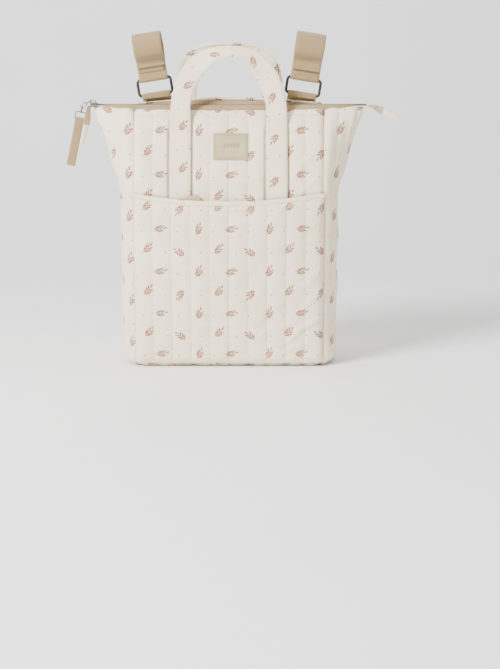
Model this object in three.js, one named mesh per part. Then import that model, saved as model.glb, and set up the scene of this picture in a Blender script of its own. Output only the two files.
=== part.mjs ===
// Diaper bag with a wide zip top, front pocket, two grab handles and two
// stroller straps. Millimetres, +Z up, front face towards -Y, base on z = 0.
import * as THREE from 'three';

// Body
const PANEL_HALF = 144;
const SHELL_TOP = 394;
const FABRIC = 2.5;
const BASE_RADIUS = 18;
const GUSSET_HALF_FLAT = 60.8;
const TOP_CORNER = 203;
const FRONT_EDGE_RISE = -4.5;
const BACK_EDGE_RISE = 14;
const PANEL_CROWN = 6;
const GAP = 0.35;
// Height, how far the gusset stands out past the panel seam, share of the crown
const BODY_KNOTS = [
  [18, 21, 0.25],
  [60, 21, 0.6],
  [110, 21, 0.85],
  [160, 21, 1],
  [210, 21, 0.98],
  [240, 21, 0.92],
  [262, 22, 0.85],
  [283, 25.5, 0.75],
  [304, 32, 0.62],
  [332, 40, 0.42],
  [361, 49, 0.2],
  [378, 55, 0.1],
  [394, 59, 0],
];

// Lining and base
const LINING_INSET = 4.8;
const LINING_THICK = 0.8;
const LINING_TOP = 378;
const BOARD_THICK = 1.7;

// Front pocket
const POCKET_HALF = 143.4;
const POCKET_MOUTH = 257.5;
const POCKET_MOUTH_RISE = 10.5;
const POCKET_MOUTH_TILT = 0.6;
const POCKET_ROOM = 9;
const HEM_HEIGHT = 7;
const HEM_THICK = 1;

// Zip
const ZIP_HALF_LENGTH = 212;
const TAPE_LOW = 395.5;
const TAPE_THICK = 1;
const TAPE_OUTER = 6.5;
const TAPE_INNER = 1;
const COIL_OUTER = 2.9;
const COIL_LOW = 396.8;
const COIL_HIGH = 398.8;
const SLIDER_X = -206;

// Webbing, handles and straps
const WEBBING_WIDTH = 44;
const WEBBING_THICK = 1.6;
const HANDLE_WIDTH = 32;
const HANDLE_THICK = 3.6;
const FRONT_HANDLE_X = 72.5;
const BACK_HANDLE_X = 66;
const HANDLE_FOOT = 240;
const HANDLE_STITCH = 361;
const ANCHOR_X = 110.6;
const RING_Y = 12.4;
const RING_LOW = 413;
const RING_HIGH = 437;
const RING_HALF = 25.6;
const RING_WIRE = 2.2;
const LOOP_CENTRE = 485;
const LOOP_RADIUS = 20.8;
const STRAP_TILT = 0.155;
const STRAP_PIVOT = 404;
const PAD_THICK = 0.7;
const FLAP_END = { left: 455, right: 449 };

// Handle loops from the stitch line up to the middle of the arch: x, y, z
const FRONT_ARCH = [
  [72.5, -39.3, 357.3], [72.5, -33, 380], [71, -28.5, 402], [64, -22, 428],
  [50, -17, 452], [29, -14, 470], [0, -13, 477],
];
const BACK_ARCH = [
  [66, 39.3, 372.4], [66, 33.5, 394], [65.5, 29.5, 420], [63.5, 27, 444],
  [54, 25, 464], [30, 24, 477], [0, 23.5, 481],
];
const HANDLE_TURN = 0.6;

// Pull and zip tails
const LINK_WIRE = 0.8;
const LINK_REACH = 0.95;
// Name, upper end, lower end, half width, whether the link lies across the zip
const PULL_LINKS = [
  ['pull_link_upper', [-211.2, 402.2], [-219, 399.6], 3.1, true],
  ['pull_link_middle', [-219, 399.6], [-224.5, 393.6], 2.6, false],
  ['pull_link_lower', [-224.5, 393.6], [-227, 385.6], 2.6, true],
  ['pull_loop', [-227, 385.6], [-228.8, 376.6], 7.6, false],
];
const PULL_TAB_BAR = [-228.98, 375.67];
const PULL_TAB_LENGTH = 72;
const PULL_TAB_WIDTH = 12;
const PULL_TAB_LEAN = 0.22;
const TAIL_THICK = 1.4;
const TAIL_Y = 0;
const LEFT_TAIL = [[213.4, 395.6], [214.9, 392.6], [216, 386], [217, 377], [219, 367]];
const LEFT_TIP = [[219.4, 365.2], [221.6, 352], [225.4, 339]];
const RIGHT_TAIL = [[212.6, 396], [219, 394.6], [227, 391.5], [235.5, 388]];
const RIGHT_TIP = [[236.3, 387.4], [246, 382], [257, 375.5]];

const material = (name, color, roughness, metalness = 0) =>
  Object.assign(new THREE.MeshStandardMaterial({ color, roughness, metalness }), { name });
const PRINTED = material('printed_cotton', 0xe6ddd2, 0.92);
const BEIGE = material('beige_tape', 0xc9b79d, 0.9);
const WEBBING = material('beige_webbing', 0xb9a88a, 0.88);
const LABEL = material('label_weave', 0xb5a888, 0.9);
const LINING = material('lining_cotton', 0xcdbda3, 0.92);
const BLACK = material('black_plastic', 0x1b1b1c, 0.45);
const STEEL = material('nickel_plate', 0xb9b9b6, 0.28, 1);
const COIL = material('zip_coil', 0x8d7d68, 0.55);
const BOARD = material('base_board', 0x5e5a55, 0.8);
const HOOK = material('hook_and_loop', 0xa99878, 0.97);

const bag = new THREE.Group();
bag.name = 'diaper_bag';

function lerp(a, b, t) {
  return a + (b - a) * t;
}

function range(from, to, steps) {
  return Array.from({ length: steps + 1 }, (_, i) => lerp(from, to, i / steps));
}

function atHeight(z, column) {
  const last = BODY_KNOTS.length - 1;
  if (z <= BODY_KNOTS[0][0]) return BODY_KNOTS[0][column];
  const k = Math.min(last - 1, BODY_KNOTS.findIndex((r, i) => i < last && z <= BODY_KNOTS[i + 1][0]));
  const i = k < 0 ? last - 1 : k;
  const [a, b] = [BODY_KNOTS[i], BODY_KNOTS[i + 1]];
  return lerp(a[column], b[column], (z - a[0]) / (b[0] - a[0]));
}

function halfDepthAt(z) {
  const last = BODY_KNOTS.length - 1;
  const depth = (k) => Math.sqrt(GUSSET_HALF_FLAT ** 2 - BODY_KNOTS[k][1] ** 2);
  if (z <= BODY_KNOTS[0][0]) return depth(0);
  const found = BODY_KNOTS.findIndex((r, i) => i < last && z <= BODY_KNOTS[i + 1][0]);
  const i = found < 0 ? last - 1 : found;
  const [a, b] = [BODY_KNOTS[i][0], BODY_KNOTS[i + 1][0]];
  return lerp(depth(i), depth(i + 1), (z - a) / (b - a));
}

// How far the top edge lifts or drops, at x and across the depth (t from -1 to 1)
function topLift(x, t) {
  const across = 1 - (x / TOP_CORNER) ** 2;
  return (t < 0 ? FRONT_EDGE_RISE : BACK_EDGE_RISE) * t * t * across;
}

function lifted(z, x, t) {
  return z * (1 + topLift(x, t) / SHELL_TOP);
}

function crownAt(x, z) {
  return PANEL_CROWN * (1 - (x / PANEL_HALF) ** 2) * atHeight(z, 2);
}

// One level of the shell: height and how far the wall is set in, for a wall
// face that lies `depth` inside the outer surface
function levelRows(depth, top, arcSteps = 4) {
  const radius = BASE_RADIUS - depth;
  const arc = range(0, Math.PI / 2, arcSteps).map((a) => ({
    z: BASE_RADIUS - radius * Math.cos(a),
    inset: BASE_RADIUS - radius * Math.sin(a),
    knot: BASE_RADIUS,
    outerInset: BASE_RADIUS * (1 - Math.sin(a)),
  }));
  const wall = BODY_KNOTS.slice(1)
    .filter(([z]) => z <= top)
    .map(([z]) => ({ z, inset: depth, knot: z, outerInset: 0 }));
  return [...arc, ...wall];
}

// A point of the front (side -1) or back (side 1) wall
function panelPoint(x, row, side) {
  const y = halfDepthAt(row.knot) - row.inset + crownAt(x, row.z < BASE_RADIUS ? 0 : row.knot) * arcShare(row);
  return [x * (1 - (0.4 * row.outerInset) / PANEL_HALF), side * y, lifted(row.z, x, side)];
}

function arcShare(row) {
  return 1 - row.outerInset / BASE_RADIUS;
}

// Outer face of the front or back wall at a height on its straight part
function wallY(x, z, side) {
  return side * (halfDepthAt(z) + crownAt(x, z));
}

// A point of a side gusset, t from -1 (front seam) to 1 (back seam)
function gussetPoint(t, row, side) {
  const stand = Math.max(0.8, atHeight(row.knot, 1) - 1.1 * row.outerInset);
  const depth = halfDepthAt(row.knot);
  const extra = row.inset - row.outerInset;
  const outerSeam = PANEL_HALF - 0.4 * row.outerInset;
  const seam = outerSeam - extra;
  const apex = outerSeam + stand - extra * Math.hypot(1, stand / depth);
  const fold = lerp(2.2, 1.3, THREE.MathUtils.smoothstep(row.knot, 230, SHELL_TOP));
  const x = seam + (apex - seam) * (1 - Math.abs(t) ** fold);
  return [side * x, t * (depth - row.inset), lifted(row.z, x, t)];
}

function addMesh(name, points, triangles, look) {
  let volume = 0;
  const corner = (i) => new THREE.Vector3(...points[i]);
  for (const [a, b, c] of triangles) {
    volume += corner(a).dot(corner(b).cross(corner(c)));
  }
  const wound = volume < 0 ? triangles.map(([a, b, c]) => [a, c, b]) : triangles;
  const geometry = new THREE.BufferGeometry();
  geometry.setAttribute('position', new THREE.Float32BufferAttribute(points.flat(), 3));
  geometry.setIndex(wound.flat());
  geometry.computeVertexNormals();
  const mesh = new THREE.Mesh(geometry, look);
  mesh.name = name;
  bag.add(mesh);
}

function quad(a, b, c, d) {
  return [[a, b, c], [a, c, d]];
}

// A thin solid between two faces, each a grid of rows of points
function addSheet(name, outer, inner, look) {
  const rows = outer.length;
  const cols = outer[0].length;
  const points = [...outer.flat(), ...inner.flat()];
  const back = rows * cols;
  const at = (j, i) => j * cols + i;
  const faces = [];
  for (let j = 0; j < rows - 1; j++) {
    for (let i = 0; i < cols - 1; i++) {
      const [a, b, c, d] = [at(j, i), at(j, i + 1), at(j + 1, i + 1), at(j + 1, i)];
      faces.push(...quad(a, b, c, d));
      faces.push(...quad(a + back, d + back, c + back, b + back));
    }
  }
  const loop = [];
  for (let i = 0; i < cols - 1; i++) loop.push(at(0, i));
  for (let j = 0; j < rows - 1; j++) loop.push(at(j, cols - 1));
  for (let i = cols - 1; i > 0; i--) loop.push(at(rows - 1, i));
  for (let j = rows - 1; j > 0; j--) loop.push(at(j, 0));
  loop.forEach((p, k) => {
    const q = loop[(k + 1) % loop.length];
    faces.push(...quad(p, p + back, q + back, q));
  });
  addMesh(name, points, faces, look);
}

// A solid lofted through sections that all have the same number of points
function addLoft(name, sections, look, closed = false) {
  const m = sections[0].length;
  const n = sections.length;
  const faces = [];
  const spans = closed ? n : n - 1;
  for (let k = 0; k < spans; k++) {
    for (let i = 0; i < m; i++) {
      const next = (k + 1) % n;
      const j = (i + 1) % m;
      faces.push(...quad(k * m + i, k * m + j, next * m + j, next * m + i));
    }
  }
  if (!closed) {
    for (let i = 1; i < m - 1; i++) {
      faces.push([0, i + 1, i]);
      faces.push([(n - 1) * m, (n - 1) * m + i, (n - 1) * m + i + 1]);
    }
  }
  addMesh(name, sections.flat(), faces, look);
}

function addBox(name, low, high, look) {
  const [a, b] = [low, high];
  const section = (x) => [[x, a[1], a[2]], [x, b[1], a[2]], [x, b[1], b[2]], [x, a[1], b[2]]];
  addLoft(name, [section(a[0]), section(b[0])], look);
}

// Rings and straps hang tilted outwards; below the ring the tilt fades into the seam
function tilted(centreX, [x, y, z]) {
  const share = Math.min(1, Math.max(0, (z - STRAP_PIVOT) / 5));
  const angle = Math.sign(centreX) * STRAP_TILT * share;
  const [dx, dz] = [x - centreX, z - STRAP_PIVOT];
  return [
    centreX + dx * Math.cos(angle) + dz * Math.sin(angle),
    y,
    STRAP_PIVOT + dz * Math.cos(angle) - dx * Math.sin(angle),
  ];
}

// Flat webbing that runs along a line in the YZ plane, tilted with its ring
function addWebbing(name, path, centreX, width, thick, look) {
  const sections = path.map(([y, z], k) => {
    const before = path[Math.max(0, k - 1)];
    const after = path[Math.min(path.length - 1, k + 1)];
    const along = new THREE.Vector2(after[0] - before[0], after[1] - before[1]).normalize();
    const [ny, nz] = [(-along.y * thick) / 2, (along.x * thick) / 2];
    const [left, right] = [centreX - width / 2, centreX + width / 2];
    return [
      [left, y + ny, z + nz],
      [right, y + ny, z + nz],
      [right, y - ny, z - nz],
      [left, y - ny, z - nz],
    ].map((point) => tilted(centreX, point));
  });
  addLoft(name, sections, look);
}

// A strap along a curve in space; its face turns from `front` to outwards
function strapSections(curvePoints, steps, width, thick, front, turn) {
  const curve = new THREE.CatmullRomCurve3(curvePoints.map((p) => new THREE.Vector3(...p)));
  return range(0, 1, steps).map((u) => {
    const centre = curve.getPointAt(u);
    const along = curve.getTangentAt(u);
    const outward = new THREE.Vector3(-along.z, 0, along.x).normalize();
    if (outward.dot(new THREE.Vector3(centre.x, 0, 30)) < 0) outward.negate();
    const face = front.clone().lerp(outward, turn(u));
    face.addScaledVector(along, -face.dot(along)).normalize();
    const across = new THREE.Vector3().crossVectors(along, face).multiplyScalar(width / 2);
    face.multiplyScalar(thick / 2);
    const corner = (s, f) => centre.clone().addScaledVector(across, s).addScaledVector(face, f).toArray();
    return [corner(-1, 1), corner(1, 1), corner(1, -1), corner(-1, -1)];
  });
}

// Round wire bent into a flat ring with rounded corners
function ringSections(centre, halfU, halfV, corner, wire, axisU, axisV) {
  const across = new THREE.Vector3().crossVectors(axisU, axisV);
  const sections = [];
  const quarter = range(0, Math.PI / 2, 3);
  [[1, 1], [-1, 1], [-1, -1], [1, -1]].forEach(([su, sv], k) => {
    quarter.forEach((q) => {
      const angle = q + (k * Math.PI) / 2;
      const out = axisU.clone().multiplyScalar(Math.cos(angle)).addScaledVector(axisV, Math.sin(angle));
      const base = centre.clone()
        .addScaledVector(axisU, su * (halfU - corner))
        .addScaledVector(axisV, sv * (halfV - corner))
        .addScaledVector(out, corner);
      sections.push(range(0, 5, 5).map((i) => {
        const turn = (i * Math.PI) / 3;
        return base.clone()
          .addScaledVector(out, wire * Math.cos(turn))
          .addScaledVector(across, wire * Math.sin(turn))
          .toArray();
      }));
    });
  });
  return sections;
}

function addShell() {
  const outerRows = levelRows(0, SHELL_TOP);
  const innerRows = levelRows(FABRIC, SHELL_TOP);
  const xs = (half) => range(-half, half, 10);
  for (const [name, side] of [['front_panel', -1], ['back_panel', 1]]) {
    const outer = outerRows.map((row) => xs(PANEL_HALF - GAP / 2).map((x) => panelPoint(x, row, side)));
    const inner = innerRows.map((row) =>
      xs(PANEL_HALF - FABRIC - GAP / 2).map((x) => panelPoint(x, row, side)));
    addSheet(name, outer, inner, PRINTED);
  }
  const edge = 1 - GAP / 57;
  const turns = range(-1, 1, 12).map((t) => t * edge);
  for (const [name, side] of [['left_gusset', -1], ['right_gusset', 1]]) {
    const shifted = (rows) => rows.map((row) => turns.map((t) => {
      const [x, y, z] = gussetPoint(t, row, side);
      return [x + side * GAP, y, z];
    }));
    addSheet(name, shifted(outerRows), shifted(innerRows), PRINTED);
  }
}

function addBase() {
  const halfX = PANEL_HALF - 0.4 * BASE_RADIUS - GAP;
  const halfY = halfDepthAt(0) - BASE_RADIUS - GAP;
  addBox('base_panel', [-halfX, -halfY, 0], [halfX, halfY, FABRIC], PRINTED);
  const low = FABRIC + 0.3;
  addBox('base_board', [3 - halfX, 3 - halfY, low], [halfX - 3, halfY - 3, low + BOARD_THICK], BOARD);
}

function liningLoop(row) {
  const xs = range(-1, 1, 6).slice(0, -1);
  const seam = PANEL_HALF - 0.4 * row.outerInset - (row.inset - row.outerInset);
  const wall = (side, flip) => xs.map((s) => {
    const [, y, z] = panelPoint(s * flip * seam, row, side);
    return [s * flip * seam, y, z];
  });
  const turns = range(-1, 1, 6).slice(0, -1);
  const right = turns.map((t) => gussetPoint(t, row, 1));
  const left = turns.map((t) => gussetPoint(-t, row, -1));
  return [...wall(-1, 1), ...right, ...wall(1, -1), ...left];
}

function addLining() {
  const outer = levelRows(LINING_INSET, LINING_TOP).map(liningLoop);
  const inner = levelRows(LINING_INSET + LINING_THICK, LINING_TOP).map(liningLoop);
  const m = outer[0].length;
  const rows = outer.length;
  const points = [...outer.flat(), ...inner.flat()];
  const back = rows * m;
  const faces = [];
  for (let j = 0; j < rows - 1; j++) {
    for (let i = 0; i < m; i++) {
      const k = (i + 1) % m;
      const [a, b, c, d] = [j * m + i, j * m + k, (j + 1) * m + k, (j + 1) * m + i];
      faces.push(...quad(a, b, c, d));
      faces.push(...quad(a + back, d + back, c + back, b + back));
    }
  }
  const top = (rows - 1) * m;
  for (let i = 0; i < m; i++) {
    const k = (i + 1) % m;
    faces.push(...quad(top + i, top + k, top + k + back, top + i + back));
  }
  for (const [start, floor] of [[0, outer], [back, inner]]) {
    const centre = points.length;
    points.push([0, 0, floor[0][0][2]]);
    for (let i = 0; i < m; i++) {
      const k = (i + 1) % m;
      faces.push(start ? [centre, start + i, start + k] : [centre, start + k, start + i]);
    }
  }
  addMesh('lining', points, faces, LINING);
}

function pocketMouth(x) {
  const s = x / PANEL_HALF;
  return POCKET_MOUTH + POCKET_MOUTH_RISE * s * s + POCKET_MOUTH_TILT * s;
}

function pocketRoom(x, z) {
  const across = 1 - (x / POCKET_HALF) ** 4;
  return POCKET_ROOM * Math.max(0, across) * THREE.MathUtils.smoothstep(z, 15, 120);
}

// Inner face of the pocket cloth, off the front wall by the pocket's room
function pocketPoint(x, z, off) {
  return [x, wallY(x, z, -1) - GAP - pocketRoom(x, z) - off, lifted(z, x, -1)];
}

function pocketHeights(x, from, to) {
  const inside = BODY_KNOTS.map(([z]) => z).filter((z) => z > from && z < 245);
  return [from, ...inside, to(x)];
}

function addPocket() {
  const xs = range(-POCKET_HALF, POCKET_HALF, 12);
  const grid = (columns, from, to, off) => {
    const levels = pocketHeights(0, from, to).length;
    return Array.from({ length: levels }, (_, j) =>
      columns.map((x) => pocketPoint(x, pocketHeights(x, from, to)[j], off)));
  };
  const low = BASE_RADIUS;
  addSheet('front_pocket', grid(xs, low, pocketMouth, FABRIC), grid(xs, low, pocketMouth, 0), PRINTED);

  const hem = (off) => [HEM_HEIGHT, 0].map((down) =>
    xs.map((x) => {
      const z = pocketMouth(x) - down;
      return pocketPoint(x, z, off);
    }));
  const hemIn = FABRIC + GAP;
  addSheet('pocket_hem', hem(hemIn + HEM_THICK), hem(hemIn), PRINTED);

  const liningXs = xs.slice(1, -1);
  const peek = (x) => pocketMouth(x) - 3 + 12 * Math.max(0, Math.min((x + 84) / 36, (-40 - x) / 8));
  const under = -GAP - LINING_THICK;
  addSheet('pocket_lining', grid(liningXs, 60, peek, -GAP), grid(liningXs, 60, peek, under), BEIGE);
}

function addLabel() {
  const heights = [319.5, 332, 359];
  const xs = [-23, 3, 29];
  const face = (off) => heights.map((z) => xs.map((x) => [x, wallY(x, z, -1) - GAP - off, lifted(z, x, -1)]));
  addSheet('label', face(0.8), face(0), LABEL);
}

function addTopClosure() {
  const edgeDepth = halfDepthAt(SHELL_TOP) - FABRIC - 0.3;
  const xs = range(-138, 138, 10);
  for (const [name, side, drop] of [['top_facing_front', -1, 0.4], ['top_facing_back', 1, 5]]) {
    const wall = (x) => SHELL_TOP + topLift(x, side) - drop;
    const strip = (up) => [
      xs.map((x) => [x, side * edgeDepth, wall(x) + up]),
      xs.map((x) => [x, side * (TAPE_OUTER + 1.2), TAPE_LOW - 0.4 + up]),
    ];
    addSheet(name, strip(1), strip(0), BEIGE);
  }
  for (const [word, side] of [['front', -1], ['back', 1]]) {
    const span = (a, b) => [Math.min(side * a, side * b), Math.max(side * a, side * b)];
    const [t0, t1] = span(TAPE_INNER, TAPE_OUTER);
    addBox(`zip_tape_${word}`, [-ZIP_HALF_LENGTH, t0, TAPE_LOW],
      [ZIP_HALF_LENGTH, t1, TAPE_LOW + TAPE_THICK], BEIGE);
    const [c0, c1] = span(TAPE_INNER, COIL_OUTER);
    addBox(`zip_coil_${word}`, [-ZIP_HALF_LENGTH + 1, c0, COIL_LOW],
      [ZIP_HALF_LENGTH - 1, c1, COIL_HIGH], COIL);
  }
}

// The slider wraps both coils: a plate over them, a plate under the tape and a
// post between the two halves; a bow on top holds the pull
function addSlider() {
  const x = SLIDER_X;
  const outline = [
    [-4.6, 399.2], [-4.6, 396.9], [-3.4, 396.9], [-3.4, 399.1], [-0.6, 399.1],
    [-0.6, 395.2], [-4.2, 395.2], [-4.2, 394.2], [4.2, 394.2], [4.2, 395.2],
    [0.6, 395.2], [0.6, 399.1], [3.4, 399.1], [3.4, 396.9], [4.6, 396.9],
    [4.6, 399.2], [3.6, 400.6], [-3.6, 400.6],
  ];
  addPrism('zip_slider', outline, x - 5.5, x + 5.5, STEEL);
  const bow = [
    [2.9, 0], [2.9, 1.4], [0, 3.6], [-4, 4.2], [-6.4, 2.6], [-6.6, -0.9],
    [-5.9, -0.9], [-5.3, 2.1], [-3.8, 3], [-0.4, 2.5], [1.4, 1.1], [1.4, 0],
  ].map(([a, b]) => [x + a, 400.95 + b]);
  addSideProfile('slider_bow', bow, -1.2, 1.2, STEEL);
}

// A solid with one outline in YZ, from one X to another
function addPrism(name, outline, fromX, toX, look) {
  const shape = new THREE.Shape(outline.map(([y, z]) => new THREE.Vector2(y, z)));
  const body = new THREE.ExtrudeGeometry(shape, { depth: toX - fromX, bevelEnabled: false });
  body.applyMatrix4(new THREE.Matrix4().set(0, 0, 1, fromX, 1, 0, 0, 0, 0, 1, 0, 0, 0, 0, 0, 1));
  const mesh = new THREE.Mesh(body, look);
  mesh.name = name;
  bag.add(mesh);
}

// A solid with one outline in XZ, from one Y to another
function addSideProfile(name, outline, fromY, toY, look) {
  const shape = new THREE.Shape(outline.map(([x, z]) => new THREE.Vector2(x, z)));
  const body = new THREE.ExtrudeGeometry(shape, { depth: toY - fromY, bevelEnabled: false });
  body.applyMatrix4(new THREE.Matrix4().set(1, 0, 0, 0, 0, 0, -1, toY, 0, 1, 0, 0, 0, 0, 0, 1));
  const mesh = new THREE.Mesh(body, look);
  mesh.name = name;
  bag.add(mesh);
}

// Three links and a loop hang from the bow, each turned a quarter from the last
function addPull() {
  const Y = new THREE.Vector3(0, 1, 0);
  PULL_LINKS.forEach(([name, from, to, halfWide, crosswise]) => {
    const start = new THREE.Vector3(from[0], 0, from[1]);
    const end = new THREE.Vector3(to[0], 0, to[1]);
    const along = end.clone().sub(start).normalize();
    const level = new THREE.Vector3(along.z, 0, -along.x);
    const halfLong = start.distanceTo(end) / 2 + LINK_REACH;
    const middle = start.clone().add(end).multiplyScalar(0.5);
    const sections = ringSections(middle, halfLong, halfWide, 2.2, LINK_WIRE, along, crosswise ? Y : level);
    addLoft(name, sections, STEEL, true);
  });
  addPullTab();
}

// The pull tab folds over the lower bar of its loop and hangs from it
function addPullTab() {
  const [x, z] = PULL_TAB_BAR;
  const wrap = range(-Math.PI * 0.6, Math.PI * 0.6, 8).map((a) => [2.1 * Math.sin(a), 2.1 * Math.cos(a)]);
  const path = [[-1.05, -PULL_TAB_LENGTH], [-1.05, -7], ...wrap, [1.05, -7], [1.05, -PULL_TAB_LENGTH]];
  const up = new THREE.Vector3(PULL_TAB_LEAN, 0, 1).normalize();
  const across = new THREE.Vector3(up.z, 0, -up.x).multiplyScalar(PULL_TAB_WIDTH / 2);
  const half = WEBBING_THICK / 2;
  const sections = path.map(([u, v], k) => {
    const a = path[Math.max(0, k - 1)];
    const b = path[Math.min(path.length - 1, k + 1)];
    const along = new THREE.Vector2(b[0] - a[0], b[1] - a[1]).normalize();
    const corner = (s, f) => new THREE.Vector3(x, u - along.y * f, z)
      .addScaledVector(up, v + along.x * f)
      .addScaledVector(across, s)
      .toArray();
    return [corner(-1, half), corner(1, half), corner(1, -half), corner(-1, -half)];
  });
  addLoft('pull_tab', sections, WEBBING);
}

// The tape ends run past the corners as soft tails with a sewn fabric tip
function addTails() {
  const tail = (name, side, path, wide, look, turned) => {
    const sections = path.map(([x, z], k) => {
      const a = path[Math.max(0, k - 1)];
      const b = path[Math.min(path.length - 1, k + 1)];
      const along = new THREE.Vector3(b[0] - a[0], 0, b[1] - a[1]).normalize();
      const t = turned(k / (path.length - 1));
      const across = new THREE.Vector3(0, Math.cos(t), 0)
        .addScaledVector(new THREE.Vector3(-along.z, 0, along.x), Math.sin(t)).normalize();
      const face = new THREE.Vector3().crossVectors(along, across).multiplyScalar(TAIL_THICK / 2);
      const centre = new THREE.Vector3(side * x, TAIL_Y, z);
      across.x *= side;
      face.x *= side;
      const half = wide(k / (path.length - 1)) / 2;
      const corner = (s, f) => centre.clone().addScaledVector(across, s * half).addScaledVector(face, f).toArray();
      return [corner(-1, 1), corner(1, 1), corner(1, -1), corner(-1, -1)];
    });
    addLoft(name, sections, look);
  };
  tail('tail_tape_left', -1, LEFT_TAIL, () => 12, BEIGE, (s) => lerp(0.15, 0.75, s));
  tail('tail_tip_left', -1, LEFT_TIP, (s) => lerp(8, 6, s), PRINTED, () => 0.75);
  tail('tail_tape_right', 1, RIGHT_TAIL, () => 12, BEIGE, (s) => lerp(0.15, 0.9, s));
  tail('tail_tip_right', 1, RIGHT_TIP, (s) => lerp(12, 10, s), PRINTED, () => 0.9);
}

function addHandle(name, x, side, arch) {
  const heights = [HANDLE_FOOT, 262, 283, 304, 332, HANDLE_STITCH - 1];
  for (const [word, sx] of [['left', -1], ['right', 1]]) {
    const xs = [-1, 0, 1].map((s) => sx * x + (s * HANDLE_WIDTH) / 2);
    const face = (off) => heights.map((z) =>
      xs.map((at) => [at, wallY(at, z, side) + side * (GAP + off), lifted(z, at, side)]));
    addSheet(`${name}_${word}_root`, face(HANDLE_THICK), face(0), PRINTED);
  }
  const half = arch.map(([ax, y, z]) => [ax, y, z]);
  const points = [...half.map(([ax, y, z]) => [-ax, y, z]), ...half.slice(0, -1).reverse()];
  const front = new THREE.Vector3(0, side, 0);
  const turn = (u) => HANDLE_TURN * THREE.MathUtils.smoothstep(0.5 - Math.abs(u - 0.5), 0.2, 0.5);
  addLoft(`${name}_loop`, strapSections(points, 32, HANDLE_WIDTH, HANDLE_THICK, front, turn), PRINTED);
}

function arcPath(centre, radius, from, to, steps) {
  return range(from, to, steps).map((a) => [centre[0] + radius * Math.cos(a), centre[1] + radius * Math.sin(a)]);
}

function addStrollerStrap(word, sx) {
  const x = sx * ANCHOR_X;
  addAnchor(word, x);
  const angle = sx * STRAP_TILT;
  const level = new THREE.Vector3(Math.cos(angle), 0, -Math.sin(angle));
  const up = new THREE.Vector3(Math.sin(angle), 0, Math.cos(angle));
  const middle = new THREE.Vector3(...tilted(x, [x, RING_Y, (RING_LOW + RING_HIGH) / 2]));
  const ring = ringSections(middle, RING_HALF, (RING_HIGH - RING_LOW) / 2, 4.5, RING_WIRE, level, up);
  addLoft(`strap_ring_${word}`, ring, BLACK, true);

  const fold = RING_WIRE + GAP + WEBBING_THICK / 2;
  const layer = WEBBING_THICK / 2 + 0.15;
  const centre = [RING_Y, LOOP_CENTRE];
  const meet = Math.acos(layer / LOOP_RADIUS);
  const strap = [
    [RING_Y - layer, 463],
    [RING_Y - layer, 446],
    [RING_Y - 2.2, 441.5],
    ...arcPath([RING_Y, RING_HIGH], fold, Math.PI, 2 * Math.PI, 6),
    [RING_Y + 2.2, 441.5],
    [RING_Y + layer, 446],
    [RING_Y + layer, 463.4],
    ...arcPath(centre, LOOP_RADIUS, -meet + 0.12, Math.PI / 2 - 0.012, 10),
  ];
  addWebbing(`stroller_strap_${word}`, strap, x, WEBBING_WIDTH, WEBBING_THICK, WEBBING);

  const end = FLAP_END[word];
  const flapY = RING_Y - layer - WEBBING_THICK - 2 * (PAD_THICK + 0.3) - 0.3;
  const flap = [
    ...arcPath(centre, LOOP_RADIUS, Math.PI / 2 + 0.012, Math.PI * 1.22, 10),
    [RING_Y - 9.6, 467.4],
    [flapY, 463],
    [flapY, end],
  ];
  addWebbing(`strap_flap_${word}`, flap, x, WEBBING_WIDTH, WEBBING_THICK, WEBBING);

  const loopY = RING_Y - layer - WEBBING_THICK / 2 - 0.3 - PAD_THICK / 2;
  const hookY = loopY - PAD_THICK - 0.3;
  const padWidth = WEBBING_WIDTH - 6;
  addWebbing(`loop_pad_${word}`, [[loopY, 461.5], [loopY, 447.5]], x, padWidth, PAD_THICK, HOOK);
  addWebbing(`hook_pad_${word}`, [[hookY, 461.5], [hookY, end + 1.5]], x, padWidth, PAD_THICK, HOOK);
}

// Sewn to the back panel, over the ring's lower bar and into the top seam
function addAnchor(word, x) {
  const fold = RING_WIRE + GAP + WEBBING_THICK / 2;
  const xs = [-1, 0, 1].map((s) => x + (s * WEBBING_WIDTH) / 2);
  const paths = xs.map((at) => {
    const sewn = [362, 378, 393].map((z) => [wallY(at, z, 1) + GAP + WEBBING_THICK / 2 + 0.2, lifted(z, at, 1)]);
    return [
      ...sewn,
      ...arcPath([RING_Y, RING_LOW], fold, 0, Math.PI, 8),
      [RING_Y - fold, 407.5],
    ];
  });
  const offset = (path, s) => path.map(([y, z], k) => {
    const a = path[Math.max(0, k - 1)];
    const b = path[Math.min(path.length - 1, k + 1)];
    const along = new THREE.Vector2(b[0] - a[0], b[1] - a[1]).normalize();
    return [y + (along.y * s * WEBBING_THICK) / 2, z - (along.x * s * WEBBING_THICK) / 2];
  });
  const face = (s) => {
    const lines = paths.map((path) => offset(path, s));
    return lines[0].map((_, k) => xs.map((at, i) => tilted(x, [at, ...lines[i][k]])));
  };
  addSheet(`strap_anchor_${word}`, face(1), face(-1), WEBBING);
}

addShell();
addBase();
addLining();
addPocket();
addLabel();
addTopClosure();
addSlider();
addPull();
addTails();
addHandle('front_handle', FRONT_HANDLE_X, -1, FRONT_ARCH);
addHandle('back_handle', BACK_HANDLE_X, 1, BACK_ARCH);
addStrollerStrap('left', -1);
addStrollerStrap('right', 1);

export default bag;
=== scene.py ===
"""Looks of a quilted diaper bag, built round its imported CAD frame.

Lengths in the shape code are millimetres and are scaled to metres when a mesh
is made. +Z is up and the front faces -Y.
"""

import math

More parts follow.
